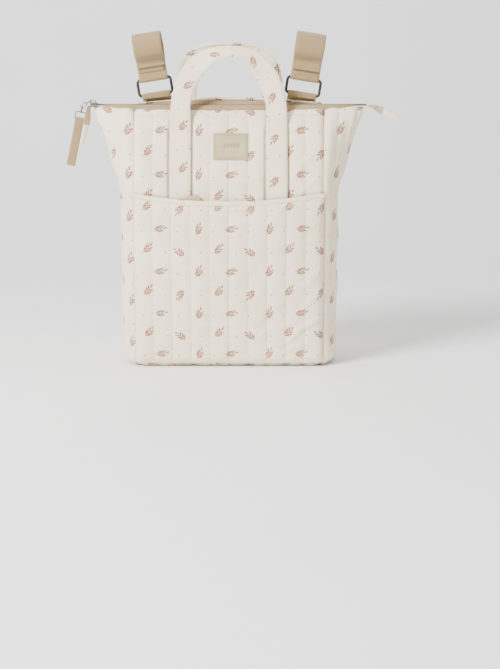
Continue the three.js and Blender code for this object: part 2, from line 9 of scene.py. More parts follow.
import bpy
import numpy as np
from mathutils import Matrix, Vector


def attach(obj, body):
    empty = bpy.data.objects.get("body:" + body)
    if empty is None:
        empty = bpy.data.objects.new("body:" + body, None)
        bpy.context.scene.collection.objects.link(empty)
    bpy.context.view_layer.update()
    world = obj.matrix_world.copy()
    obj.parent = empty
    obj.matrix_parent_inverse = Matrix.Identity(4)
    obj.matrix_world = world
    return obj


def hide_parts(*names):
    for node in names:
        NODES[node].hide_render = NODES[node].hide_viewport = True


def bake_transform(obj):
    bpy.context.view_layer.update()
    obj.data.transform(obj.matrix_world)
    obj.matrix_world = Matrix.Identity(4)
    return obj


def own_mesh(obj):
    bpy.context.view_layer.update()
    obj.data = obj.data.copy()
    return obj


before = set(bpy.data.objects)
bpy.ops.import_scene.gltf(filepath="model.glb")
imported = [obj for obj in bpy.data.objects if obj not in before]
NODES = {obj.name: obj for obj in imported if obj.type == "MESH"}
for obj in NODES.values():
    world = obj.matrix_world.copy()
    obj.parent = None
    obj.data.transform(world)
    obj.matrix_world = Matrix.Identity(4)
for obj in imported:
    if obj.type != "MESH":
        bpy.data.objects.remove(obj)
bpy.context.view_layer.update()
MM = 0.001

# ---------------------------------------------------------------- body shape
PANEL_HALF = 144.0
SHELL_TOP = 394.0
BASE_RADIUS = 18.0
GUSSET_HALF_FLAT, GUSSET_HALF = 60.8, 62.0
LINING_INSET, LINING_GIRTH = 5.0, 824.0
TOP_CORNER = 203.0
FRONT_RISE, BACK_RISE = -4.5, 14.0
PANEL_CROWN = 6.0
GAP = 0.35
FABRIC = 2.5
CHANNEL = 28.75
KNOTS = np.array([
    (0, 21, 0.25), (18, 21, 0.25), (60, 21, 0.6), (110, 21, 0.85), (160, 21, 1),
    (210, 21, 0.98), (240, 21, 0.92), (262, 22, 0.85), (283, 25.5, 0.75),
    (304, 32, 0.62), (332, 40, 0.42), (361, 49, 0.2), (378, 55, 0.1), (394, 59, 0),
])
ARC = BASE_RADIUS * math.pi / 2
WALL_LENGTH = ARC + SHELL_TOP - BASE_RADIUS

# ------------------------------------------------------------------ fittings
HANDLE_WIDTH, HANDLE_THICK = 32.0, 3.6
HANDLE_X = {-1: 72.5, 1: 66.0}
HANDLE_FOOT, HANDLE_STITCH = 240.0, 361.0
WEBBING_WIDTH, WEBBING_THICK = 44.0, 1.6
ANCHOR_X, RING_Y, RING_LOW, RING_HIGH = 110.6, 12.4, 413.0, 437.0
RING_HALF, RING_WIRE = 25.6, 2.2
LOOP_CENTRE, LOOP_RADIUS = 485.0, 20.8
STRAP_TILT, STRAP_PIVOT = 0.155, 404.0
PAD_THICK = 0.7
FLAP_END = {"left": 455.0, "right": 449.0}
TAPE_LOW = 395.5


def step(low, high, x):
    t = np.clip((np.asarray(x, float) - low) / (high - low), 0, 1)
    return t * t * (3 - 2 * t)


def bump(x, centre, width):
    return np.exp(-(((np.asarray(x, float) - centre) / width) ** 2))


def smooth_table(column):
    """The body's knots as a dense table, rounded off where the lines meet."""
    z = np.arange(-40, SHELL_TOP + 41, 2.0)
    inside = np.clip(z, 0, SHELL_TOP)
    slope = (KNOTS[-1, column] - KNOTS[-2, column]) / 16
    values = np.interp(inside, KNOTS[:, 0], KNOTS[:, column]) + slope * (z - inside) * (z > SHELL_TOP)
    kernel = np.hanning(11)
    return z, np.convolve(values, kernel / kernel.sum(), mode="same")


STAND_TABLE = smooth_table(1)
CROWN_TABLE = smooth_table(2)


def stand_at(z):
    return np.interp(z, *STAND_TABLE)


def half_depth(z):
    return np.sqrt(np.maximum(GUSSET_HALF_FLAT ** 2 - stand_at(z) ** 2, 150))


def crown(x, z):
    return PANEL_CROWN * (1 - (x / PANEL_HALF) ** 2) * np.interp(z, *CROWN_TABLE)


def lifted(z, x, t):
    across = 1 - (x / TOP_CORNER) ** 2
    rise = np.where(np.asarray(t) < 0, FRONT_RISE, BACK_RISE)
    return z * (1 + rise * np.asarray(t) ** 2 * across / SHELL_TOP)


def wall_level(s):
    """Height, inset and nominal height at a distance s up the wall."""
    angle = np.clip(s / BASE_RADIUS, 0, math.pi / 2)
    on_arc = s < ARC
    z = np.where(on_arc, BASE_RADIUS * (1 - np.cos(angle)), BASE_RADIUS + s - ARC)
    inset = np.where(on_arc, BASE_RADIUS * (1 - np.sin(angle)), 0)
    return z, inset, np.maximum(z, BASE_RADIUS)


def panel_surface(x, s, side):
    z, inset, knot = wall_level(s)
    share = 1 - inset / BASE_RADIUS
    y = half_depth(knot) - inset + crown(x, knot) * share
    return np.stack([x * (1 - 0.4 * inset / PANEL_HALF), side * y, lifted(z, x, side)], -1)


def gusset_surface(t, s, side):
    z, inset, knot = wall_level(s)
    stand = np.maximum(0.8, stand_at(knot) - 1.1 * inset)
    fold = 2.2 - 0.9 * step(230, SHELL_TOP, knot)
    seam = PANEL_HALF - 0.4 * inset
    x = seam + (stand + 3 * step(330, SHELL_TOP, knot)) * (1 - np.abs(t) ** fold)
    return np.stack([side * x, t * (half_depth(knot) - inset), lifted(z, x, t)], -1)


def wall_y(x, z, side):
    return side * (half_depth(z) + crown(x, z))


# --------------------------------------------------------------------- noise
def noise(x, y, seed):
    """Smooth noise from -1 to 1, the same every run."""
    table = np.random.default_rng(seed).random((64, 64)) * 2 - 1
    x, y = np.broadcast_arrays(np.asarray(x, float), np.asarray(y, float))
    xi, yi = np.floor(x).astype(int), np.floor(y).astype(int)
    fx, fy = x - xi, y - yi
    fx, fy = fx * fx * (3 - 2 * fx), fy * fy * (3 - 2 * fy)
    pick = lambda i, j: table[(xi + i) % 64, (yi + j) % 64]
    low = pick(0, 0) * (1 - fx) + pick(1, 0) * fx
    high = pick(0, 1) * (1 - fx) + pick(1, 1) * fx
    return low * (1 - fy) + high * fy


def layered(x, y, seed, layers=3):
    total = sum(noise(x * 2 ** k, y * 2 ** k, seed + k) / 2 ** k for k in range(layers))
    return total / 1.6


# -------------------------------------------------------------------- meshes
def place(name, data, at=(0, 0, 0), turn=(0, 0, 0)):
    obj = bpy.data.objects.new(name, data)
    obj.location = at
    obj.rotation_euler = turn
    bpy.context.scene.collection.objects.link(obj)
    return obj


def make_object(name, verts, faces, uv, look, sewn=None):
    """A mesh object in metres; sewn is (runs of stitches, thread), joined on as a second slot."""
    looks, parts = [look], [(np.asarray(verts, float), faces)]
    if sewn is not None:
        parts += sewn[0]
        looks.append(sewn[1])
    points, polygons = join_parts(parts)
    flat = np.zeros((len(points), 2))
    flat[:len(uv)] = uv
    mesh = bpy.data.meshes.new(name)
    mesh.from_pydata((points * MM).tolist(), [], polygons)
    layer = mesh.uv_layers.new(name="cloth")
    index = np.empty(len(mesh.loops), int)
    mesh.loops.foreach_get("vertex_index", index)
    layer.data.foreach_set("uv", flat[index].ravel())
    second = np.arange(len(polygons)) >= len(faces)
    mesh.polygons.foreach_set("material_index", second.astype(int))
    mesh.polygons.foreach_set("use_smooth", np.ones(len(polygons), bool))
    for material in looks:
        mesh.materials.append(material)
    mesh.update()
    return place(name, mesh)


def finish_piece(obj, body, nodes, slot=None):
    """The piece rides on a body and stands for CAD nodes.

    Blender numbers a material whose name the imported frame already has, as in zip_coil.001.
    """
    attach(obj, body)
    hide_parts(*nodes)
    slot or obj.data.materials[0].name.split(".")[0]


def join_parts(parts):
    verts, faces, start = [], [], 0
    for points, polygons in parts:
        verts.append(points)
        faces += [tuple(i + start for i in polygon) for polygon in polygons]
        start += len(points)
    return np.vstack(verts), faces


def unit(vectors):
    return vectors / np.maximum(np.linalg.norm(vectors, axis=-1, keepdims=True), 1e-9)


def normals_of(grid, toward):
    """Unit normals of a grid of points, on the side that `toward` points to."""
    n = unit(np.cross(np.gradient(grid, axis=1), np.gradient(grid, axis=0)))
    return n * np.where((n * toward).sum(-1, keepdims=True) < 0, -1.0, 1.0)


def grid_faces(rows, cols, start=0, flip=False, wrap=False):
    j, i = np.meshgrid(np.arange(rows - 1), np.arange(cols if wrap else cols - 1), indexing="ij")
    k = (i + 1) % cols
    faces = np.stack([j * cols + i, j * cols + k, (j + 1) * cols + k, (j + 1) * cols + i], -1)
    faces = faces.reshape(-1, 4) + start
    return faces[:, ::-1] if flip else faces


def faces_inwards(verts, quads):
    a, b, c, d = (verts[quads[:, k]] for k in range(4))
    return (np.cross(a, b) * c).sum() + (np.cross(a, c) * d).sum() < 0


def closed_grid(outer, inner, wrap=False):
    """Vertices and faces of the thin solid between two grids, facing outwards."""
    rows, cols = outer.shape[:2]
    verts = np.vstack([outer.reshape(-1, 3), inner.reshape(-1, 3)])
    back = rows * cols
    faces = [grid_faces(rows, cols, wrap=wrap), grid_faces(rows, cols, back, True, wrap)]
    if wrap:
        rims = [(np.arange(cols), 1), ((rows - 1) * cols + np.arange(cols), -1)]
    else:
        rims = [(np.concatenate([
            np.arange(cols - 1),
            np.arange(rows - 1) * cols + cols - 1,
            (rows - 1) * cols + np.arange(cols - 1, 0, -1),
            np.arange(rows - 1, 0, -1) * cols,
        ]), 1)]
    for rim, order in rims:
        after = np.roll(rim, -1)
        faces.append(np.stack([rim, rim + back, after + back, after], -1)[:, ::order])
    faces = np.vstack(faces)
    return verts, faces[:, ::-1] if faces_inwards(verts, faces) else faces


def cloth_piece(name, outer, inner, flat, look, sewn=None, wrap=False):
    """A closed sheet between two grids; flat is (u, v), its flat coordinates in mm."""
    verts, faces = closed_grid(outer, inner, wrap)
    uv = np.stack(flat, -1).reshape(-1, 2) * MM
    return make_object(name, verts, faces.tolist(), np.vstack([uv, uv]), look, sewn)


def distance_along(path):
    return np.concatenate([[0], np.cumsum(np.linalg.norm(np.diff(path, axis=0), axis=1))])


def resample(points, spacing):
    """A smooth curve through points, at even spacing, and the distance along it."""
    points = np.asarray(points, float)
    padded = np.vstack([2 * points[0] - points[1], points, 2 * points[-1] - points[-2]])
    fine = []
    for k in range(1, len(padded) - 2):
        p0, p1, p2, p3 = padded[k - 1:k + 3]
        for t in np.linspace(0, 1, 24, endpoint=False):
            fine.append(0.5 * (2 * p1 + (p2 - p0) * t + (2 * p0 - 5 * p1 + 4 * p2 - p3) * t ** 2
                               + (3 * p1 - p0 - 3 * p2 + p3) * t ** 3))
    fine = np.array(fine + [points[-1]])
    length = distance_along(fine)
    at = np.linspace(0, length[-1], max(3, int(round(length[-1] / spacing)) + 1))
    return along_line(at, length, fine), at


def along_line(at, length, values):
    return np.stack([np.interp(at, length, values[:, k]) for k in range(3)], -1)


def tangents_of(path):
    return unit(np.gradient(path, axis=0))


def strap_section(width, thick, crowned=0.35, count=13):
    """Outline of a flat strap: across and out of its face, round at the edges."""
    across = np.linspace(-1, 1, count)
    full = (1 - np.abs(across) ** 6) ** 0.5
    face = thick / 2 * (1 - crowned + crowned * (1 - across ** 2)) * (0.25 + 0.75 * full)
    top = np.stack([across * width / 2, face], -1)
    low = np.stack([across[::-1] * width / 2, -face[::-1]], -1)
    return np.vstack([top, low])


def tube(path, face, across, section, closed=False):
    """Vertices and faces of a section carried along a path, with its own face and across directions."""
    m, n = len(section), len(path)
    ring = path[:, None] + across[:, None] * section[None, :, :1] + face[:, None] * section[None, :, 1:]
    verts = ring.reshape(-1, 3)
    faces = grid_faces(n + 1 if closed else n, m, wrap=True) % (n * m)
    inwards = faces_inwards(verts - verts.mean(0), faces)
    faces = faces.tolist()
    if not closed:
        faces += [list(range(m))[::-1], [(n - 1) * m + q for q in range(m)]]
    return verts, [f[::-1] for f in faces] if inwards else faces


def sweep(name, path, face, across, section, look, sewn=None, v_start=0.0, closed=False, u_shift=0.0):
    """A strap or wire, with its flat coordinates as UVs."""
    verts, faces = tube(path, face, across, section, closed)
    u, v = np.meshgrid(section[:, 0] + u_shift, distance_along(path) + v_start)
    uv = np.stack([u, v], -1).reshape(-1, 2) * MM
    return make_object(name, verts, faces, uv, look, sewn)


# ------------------------------------------------------------------ stitches
# Each is (pitch, length, width, height) in mm.
QUILT_STITCH = (3.4, 2.3, 0.6, 0.28)
PANEL_HEM_STITCH = (3.2, 2.3, 0.7, 0.35)
CREAM_STITCH = (3.2, 2.4, 0.75, 0.4)
ROOT_STITCH = (3.0, 2.3, 0.75, 0.4)
LABEL_STITCH = (2.2, 1.7, 0.6, 0.3)
STEM_STITCH, LEAF_STITCH = (1.5, 1.7, 0.5, 0.3), (1.5, 1.9, 0.6, 0.32)
WEBBING_STITCH = (2.9, 2.2, 0.7, 0.35)
ZIP_STITCH, FACING_STITCH = (3.0, 2.2, 0.6, 0.3), (3.1, 2.3, 0.65, 0.3)
TAB_STITCH, TAIL_STITCH = (2.8, 2.1, 0.55, 0.3), (2.8, 2.0, 0.55, 0.3)


def stitch_run(path, normal, stitch):
    """Sewn stitches along a line of points: a small raised lozenge of thread for each."""
    pitch, length, width, height = stitch
    total = distance_along(path)
    at = np.arange(pitch / 2, total[-1], pitch)
    centre = along_line(at, total, path)
    facing = unit(along_line(at, total, normal))
    along = tangents_of(centre) if len(centre) > 1 else tangents_of(path)[:1]
    side = unit(np.cross(facing, along))
    corners = np.stack([
        centre - along * length / 2, centre + along * length / 2,
        centre - side * width / 2, centre + side * width / 2,
        centre + facing * height, centre - facing * height * 0.8,
    ], 1)
    order = [(0, 2, 4), (2, 1, 4), (1, 3, 4), (3, 0, 4), (2, 0, 5), (1, 2, 5), (3, 1, 5), (0, 3, 5)]
    faces = np.arange(len(centre))[:, None, None] * 6 + np.array(order)[None]
    return corners.reshape(-1, 3), faces.reshape(-1, 3).tolist()


def edge_stitches(path, face, across, width, lift, stitch):
    """Stitches along both edges of a strap, 2 mm in, on both its faces."""
    return [stitch_run(path + across * edge * (width / 2 - 2) + face * side * lift, face * side, stitch)
            for edge in (-1, 1) for side in (-1, 1)]


def cross_stitches(path, face, across, k, half_width, lift, stitch):
    """A row of stitches straight across a strap, at its point k."""
    line = path[k] + np.linspace(-half_width, half_width, 40)[:, None] * across[k] + face[k] * lift
    return stitch_run(line, np.full_like(line, face[k] * np.sign(lift)), stitch)


def line_on(sheet, xs, ss, lift=0.1):
    """Points and normals of the line (xs, ss) on a sheet, which is (points, normals, x, s)."""
    grid, out, x, s = sheet
    xs, ss = np.broadcast_arrays(xs, ss)
    cols = np.interp(xs, x[0], np.arange(x.shape[1]))
    rows = np.interp(ss, s[:, 0], np.arange(s.shape[0]))
    i, j = np.minimum(cols.astype(int), x.shape[1] - 2), np.minimum(rows.astype(int), s.shape[0] - 2)
    fi, fj = (cols - i)[:, None], (rows - j)[:, None]
    pick = lambda g: (g[j, i] * (1 - fi) * (1 - fj) + g[j, i + 1] * fi * (1 - fj)
                      + g[j + 1, i] * (1 - fi) * fj + g[j + 1, i + 1] * fi * fj)
    normal = pick(out)
    return pick(grid) + normal * lift, normal


def sewn_line(sheet, xs, ss, stitch):
    return stitch_run(*line_on(sheet, xs, ss), stitch)


# ----------------------------------------------------------------- materials
def linear(r, g, b):
    convert = lambda c: c / 12.92 if c <= 0.04045 else ((c + 0.055) / 1.055) ** 2.4
    return tuple(convert(c / 255) for c in (r, g, b)) + (1.0,)


class Value:
    """A shader value that adds, subtracts and multiplies like a number."""

    def __init__(self, nodes, socket):
        self.nodes, self.socket = nodes, socket

    def __add__(self, other):
        return self.nodes.math("ADD", self, other)

    def __sub__(self, other):
        return self.nodes.math("SUBTRACT", self, other)

    def __rsub__(self, other):
        return self.nodes.math("SUBTRACT", other, self)

    def __mul__(self, other):
        return self.nodes.math("MULTIPLY", self, other)


class Nodes:
    """Small helper that adds and links shader nodes."""

    def __init__(self, tree):
        self.tree = tree

    def add(self, kind, **settings):
        node = self.tree.nodes.new(kind)
        for key, value in settings.items():
            setattr(node, key, value)
        return node

    def wire(self, value, socket):
        value = getattr(value, "socket", value)
        if isinstance(value, bpy.types.NodeSocket):
            self.tree.links.new(value, socket)
        else:
            socket.default_value = value

    def fed(self, node, values, output=0):
        """One of a node's outputs, once its inputs have their values."""
        for value, socket in zip(values, node.inputs):
            self.wire(value, socket)
        return Value(self, node.outputs[output])

    def math(self, operation, *values):
        return self.fed(self.add("ShaderNodeMath", operation=operation), values)

    def vector(self, operation, *values):
        scalar = operation in ("LENGTH", "DOT_PRODUCT")
        node = self.add("ShaderNodeVectorMath", operation=operation)
        return self.fed(node, values, "Value" if scalar else "Vector")

    def join(self, *values):
        return self.fed(self.add("ShaderNodeCombineXYZ"), values)

    def split(self, vector):
        node = self.add("ShaderNodeSeparateXYZ")
        self.wire(vector, node.inputs[0])
        return [Value(self, output) for output in node.outputs]

    def ramp(self, value, low, high):
        return self.fed(self.add("ShaderNodeMapRange", interpolation_type="SMOOTHSTEP"), (value, low, high))

    def mix(self, share, *colours):
        """From one colour to another; a plain colour is given as 8-bit RGB."""
        node = self.add("ShaderNodeMix", data_type="RGBA")
        self.wire(share, node.inputs[0])
        for colour, socket in zip(colours, node.inputs[6:8]):
            self.wire(linear(*colour) if isinstance(colour, tuple) else colour, socket)
        return node.outputs[2]

    def noise(self, vector, scale, detail=2.0, kind="3D"):
        node = self.add("ShaderNodeTexNoise", noise_dimensions=kind)
        for key, value in (("Vector", vector), ("Scale", scale), ("Detail", detail)):
            self.wire(value, node.inputs[key])
        return Value(self, node.outputs[0])

    def where(self):
        return self.add("ShaderNodeTexCoord").outputs["Object"]

    def uv(self):
        return self.add("ShaderNodeUVMap", uv_map="cloth").outputs[0]


# The eight cells of the print that repeat: sprig direction in degrees, then the
# shift of the sprig in its cell in mm. Even columns first, rows counted upwards.
SPRIG_CELLS = (
    (45, 0, 2), (5, 0, 0), (50, 0, 2), (8, 0, 0),
    (140, -5, -3), (70, 5, 0), (228, -5, -3), (65, 5, 0),
)
CELL_WIDTH, CELL_HEIGHT = 53.0, 32.3


def sprig_group():
    """A small leafy sprig and a dot, repeated on a brick grid, from UVs in metres."""
    tree = bpy.data.node_groups.new("sprig_print", "ShaderNodeTree")
    tree.interface.new_socket("Vector", in_out="INPUT", socket_type="NodeSocketVector")
    for name in ("Leaf", "Tone", "Dot"):
        tree.interface.new_socket(name, in_out="OUTPUT", socket_type="NodeSocketFloat")
    n = Nodes(tree)
    uv, end = n.add("NodeGroupInput").outputs[0], n.add("NodeGroupOutput")
    u, v, _ = n.split(uv)
    gy = v * (1000 / CELL_HEIGHT)
    row = n.math("FLOOR", gy)
    gx = u * (1000 / CELL_WIDTH) + 0.787 - n.math("FLOORED_MODULO", row, 2.0) * 0.349
    from_centre = lambda cells, size: (n.math("FRACT", cells) - 0.5) * size
    cell_x, cell_y = from_centre(gx, CELL_WIDTH), from_centre(gy, CELL_HEIGHT)
    shake = (n.noise(uv, 420.0, 1.0, "2D") - 0.5) * 2.2

    kind = n.math("FLOORED_MODULO", n.math("FLOOR", gx), 2.0) * 4.0 + n.math("FLOORED_MODULO", row, 4.0)
    table = n.add("ShaderNodeValToRGB")
    table.color_ramp.interpolation = "CONSTANT"
    stops = table.color_ramp.elements
    while len(stops) < 8:
        stops.new(0.5)
    for k, (turn, dx, dy) in enumerate(SPRIG_CELLS):
        stops[k].position = k / 8
        stops[k].color = (turn / 360, dx / 20 + 0.5, dy / 20 + 0.5, 1)
    n.wire((kind + 0.5) * 0.125, table.inputs[0])
    turn, dx, dy = n.split(table.outputs[0])
    cos, sin = (n.math(wave, turn * (2 * math.pi)) for wave in ("COSINE", "SINE"))
    px = cell_x + shake - (dx - 0.5) * 20.0
    py = cell_y - (dy - 0.5) * 20.0
    x = px * cos + py * sin
    y = py * cos - px * sin - x * x * 0.012
    plain = n.join(x, y)
    mirrored = n.join(x - n.math("SIGN", y) * 0.7, n.math("ABSOLUTE", y))

    def leaf(point, cx, cy, tilt, half_long, half_wide):
        a = math.radians(tilt)
        offset = n.vector("SUBTRACT", point, (cx, cy, 0))
        along = n.vector("DOT_PRODUCT", offset, (math.cos(a) / half_long, math.sin(a) / half_long, 0))
        over = n.vector("DOT_PRODUCT", offset, (-math.sin(a) / half_wide, math.cos(a) / half_wide, 0))
        return n.vector("LENGTH", n.join(along, over))

    nearest = leaf(plain, 8.6, 0.0, 0, 3.0, 1.2)
    for shape in ((-4.6, 2.5, 40, 3.2, 1.15), (-0.6, 3.0, 38, 3.7, 1.25), (3.6, 2.7, 33, 3.5, 1.15)):
        nearest = n.math("MINIMUM", nearest, leaf(mirrored, *shape))
    stem = leaf(plain, -1.6, 0.0, 0, 10.0, 0.42)
    dot = n.vector("LENGTH", n.join(from_centre(gx + 0.5, CELL_WIDTH), cell_y + 3.5))
    n.wire(n.math("MAXIMUM", 1 - n.ramp(nearest, 0.85, 1.15), 1 - n.ramp(stem, 0.8, 1.25)), end.inputs[0])
    n.wire(1 - n.ramp(nearest, 0.25, 0.85), end.inputs[1])
    n.wire(1 - n.ramp(dot, 1.0, 1.4), end.inputs[2])


def new_material(name, roughness, sheen=0.0, metallic=0.0, specular=0.5):
    material = bpy.data.materials.new(name)
    material.use_nodes = True
    shader = material.node_tree.nodes["Principled BSDF"]
    for key, value in (("Roughness", roughness), ("Sheen Weight", sheen), ("Sheen Roughness", 0.5),
                       ("Metallic", metallic), ("Specular IOR Level", specular)):
        shader.inputs[key].default_value = value
    return material, Nodes(material.node_tree), shader


def set_surface(n, shader, colour, roughness, height=None, strength=0.0, distance=0.0):
    n.wire(colour, shader.inputs["Base Color"])
    n.wire(roughness, shader.inputs["Roughness"])
    if height is not None:
        relief = n.add("ShaderNodeBump")
        for key, value in (("Strength", strength), ("Distance", distance), ("Height", height)):
            n.wire(value, relief.inputs[key])
        n.wire(relief.outputs[0], shader.inputs["Normal"])


def weave_height(n, uv, pitch):
    """Over-and-under threads, from UVs in metres."""
    u, v, _ = n.split(uv)
    return n.math("SINE", u * (math.pi / pitch)) * n.math("SINE", v * (math.pi / pitch))


def cloth_material(name, colour, shade, pitch=0.0006, printed=False, relief=0.00012):
    material, n, shader = new_material(name, 0.92, 0.2, specular=0.2)
    uv, where = n.uv(), n.where()
    weave = weave_height(n, uv, pitch)
    soft, slub = n.noise(where, 22.0, 3.0), n.noise(where, 900.0)
    cloth = n.mix(n.ramp(soft * 0.55 + slub * 0.45, 0.32, 0.66), shade, colour)
    # Painted shade: the gaps between the woven threads, low in the weave, take the darker colour.
    cloth = n.mix((1 - n.ramp(weave, -1.0, 0.4)) * 0.16, cloth, shade)
    # Painted shade: ambient occlusion within 7 mm finds creases, seams and gaps between parts, on every cloth
    # material.
    painted_shade_ao = n.add("ShaderNodeAmbientOcclusion", samples=8)
    painted_shade_ao.inputs["Distance"].default_value = 0.007
    if printed:
        group = n.add("ShaderNodeGroup", node_tree=bpy.data.node_groups["sprig_print"])
        n.wire(uv, group.inputs[0])
        leaf, tone, dot = (Value(n, output) for output in group.outputs)
        ink = n.mix(n.ramp(n.noise(where, 140.0, 1.0), 0.4, 0.6), (126, 70, 58), (138, 84, 48))
        ink = n.mix(tone * 0.25, ink, (206, 140, 112))
        patchy = n.ramp(n.noise(where, 700.0, 1.0), 0.22, 0.5)
        cloth = n.mix(leaf * (patchy * 0.25 + 0.75), cloth, ink)
        cloth = n.mix(dot * 0.8, cloth, (150, 96, 84))
    # Painted shade: where the occlusion is high, the cloth is drawn towards a warm brown (150, 124, 92).
    depth = 1 - n.ramp(painted_shade_ao.outputs["AO"], 0.4, 1.0)
    cloth = n.mix(depth * 0.55, cloth, (150, 124, 92))
    set_surface(n, shader, cloth, slub * 0.12 + 0.84, weave * 0.5 + slub * 1.2, 0.55, relief)
    return material


def webbing_material(name, colour, shade, rib=0.0017):
    """Woven webbing: a herringbone of ribs."""
    material, n, shader = new_material(name, 0.85, 0.25, specular=0.25)
    where = n.where()
    u, v, _ = n.split(n.uv())
    ribs = n.math("SINE", (v + n.math("PINGPONG", u, 0.0035)) * (2 * math.pi / rib))
    cross = n.math("SINE", u * (2 * math.pi / (rib * 0.62)))
    height = ribs * 0.7 + cross * 0.4
    fuzz, blotch = n.noise(where, 800.0), n.noise(where, 40.0, 3.0)
    shaded = n.mix(n.ramp(height, -0.9, 0.5), shade, colour)
    toned = n.mix(n.ramp(blotch, 0.35, 0.7) * 0.22, shaded, shade)
    set_surface(n, shader, toned, fuzz * 0.2 + 0.74, height + fuzz * 0.8, 0.7, 0.0003)
    return material


def metal_material(name):
    material, n, shader = new_material(name, 0.22, metallic=1.0)
    scuff = n.noise(n.where(), 600.0, 4.0)
    colour = n.mix(scuff, (104, 100, 96), (150, 146, 140))
    set_surface(n, shader, colour, n.ramp(scuff, -0.6, 2.2), scuff, 0.15, 0.0001)
    return material


def plastic_material(name, colour, light, roughness=(0.34, 0.52)):
    material, n, shader = new_material(name, roughness[0])
    fine, broad = n.noise(n.where(), 1200.0), n.noise(n.where(), 60.0, 3.0)
    mottled = n.mix(n.ramp(broad, 0.4, 0.75), colour, light)
    set_surface(n, shader, mottled, fine * (roughness[1] - roughness[0]) + roughness[0], fine, 0.25, 0.0001)
    return material


def thread_material(name, colour, shade):
    material, n, shader = new_material(name, 0.6, 0.3, specular=0.35)
    twist = n.noise(n.where(), 2500.0, 1.0)
    set_surface(n, shader, n.mix(twist, shade, colour), twist * 0.2 + 0.5)
    return material


sprig_group()
PRINTED = cloth_material("printed_cotton", (246, 232, 203), (236, 219, 188), printed=True)
BEIGE = cloth_material("beige_tape", (196, 172, 138), (172, 148, 116), pitch=0.0009, relief=0.0002)
ZIP_TAPE = cloth_material("zip_tape_weave", (162, 140, 106), (138, 117, 86), pitch=0.0009, relief=0.0002)
LINING = cloth_material("lining_cotton", (206, 188, 160), (188, 168, 140), pitch=0.0005)
LABEL = cloth_material("label_weave", (190, 174, 136), (169, 153, 117), pitch=0.0008, relief=0.00022)
WEBBING = webbing_material("beige_webbing", (166, 140, 99), (132, 110, 75))
HOOK = cloth_material("hook_and_loop", (150, 128, 92), (118, 98, 66), pitch=0.0012, relief=0.0007)
METAL = metal_material("nickel_plate")
BLACK = plastic_material("black_plastic", (20, 20, 22), (34, 34, 36))
COIL = plastic_material("zip_coil", (118, 98, 76), (142, 121, 98), roughness=(0.4, 0.6))
BOARD = plastic_material("base_board", (84, 80, 76), (106, 100, 94), roughness=(0.5, 0.7))
THREAD = thread_material("cream_thread", (226, 212, 184), (196, 180, 150))
QUILT_THREAD = thread_material("quilting_thread", (206, 188, 156), (176, 158, 126))
TAN_THREAD = thread_material("tan_thread", (196, 180, 150), (160, 144, 116))
BROWN_THREAD = thread_material("brown_thread", (128, 112, 90), (98, 84, 66))


# --------------------------------------------------------------- quilted body
def quilting(x, s):
    """Height of the quilted cloth over its lining: full between the sewn lines."""
    across = np.abs(np.sin(math.pi * x / CHANNEL))
    drift = 0.6 * noise(x / 60, s / 45, 5)
    pucker = layered(x / 19, s / 6.5 + drift, 11, 2) * (0.25 + 0.75 * (1 - across) ** 0.6)
    swell = layered(x / 26, s / 38, 21)
    return 2.7 * across ** 0.52 * (1 + 0.25 * swell) + 1.15 * pucker + 0.7 * swell


def crease(x, s, x0, s0, x1, s1, width, height):
    """A soft fold that runs from one point to another and fades at both ends."""
    dx, ds = x1 - x0, s1 - s0
    length = math.hypot(dx, ds)
    along = ((x - x0) * dx + (s - s0) * ds) / length
    off = (x - x0) * -ds / length + (s - s0) * dx / length
    off = off + 0.06 * length * np.sin(along / length * math.pi)
    fade = step(-0.15 * length, 0.2 * length, along) * (1 - step(0.7 * length, 1.15 * length, along))
    return height * fade * bump(off, 0, width)


def creased(x, s, folds):
    return sum(crease(x, s, *fold) for fold in folds)


def seam_edges(x, s, half, top):
    """Cloth drawn down into its side seams and rolled in at the top hem."""
    return -2.6 * bump(half - np.abs(x), 0, 2.4) - bump(s, top - 9.5, 1.3)


def under_handle(x, s, centre, top):
    near = 1 - step(HANDLE_WIDTH / 2 + 1, HANDLE_WIDTH / 2 + 6, np.abs(np.abs(x) - centre))
    return near * step(ARC + HANDLE_FOOT - 30, ARC + HANDLE_FOOT - 18, s) * (1 - step(top, top + 8, s))


PANEL_CREASES = {
    -1: [(-120, 388, -56, 348, 6, 1.8), (118, 388, 48, 346, 6, 1.9), (-40, 384, 30, 372, 5, 1.3),
         (-140, 344, -92, 300, 6, 2.0), (140, 348, 94, 296, 6, 2.0), (-52, 300, -12, 286, 5, 1.2),
         (20, 296, 52, 306, 5, 1.2), (-136, 300, -100, 276, 4, 1.5), (136, 300, 104, 272, 4, 1.6),
         (-30, 318, -18, 276, 5, 1.0), (40, 330, 52, 286, 5, 1.0)],
    1: [(-110, 392, -90, 330, 7, 2.0), (110, 392, 92, 330, 7, 2.0), (-60, 120, 40, 96, 9, 1.8),
        (-130, 60, -70, 30, 7, 2.0), (130, 62, 76, 28, 7, 2.0), (-20, 250, 60, 236, 8, 1.3)],
}


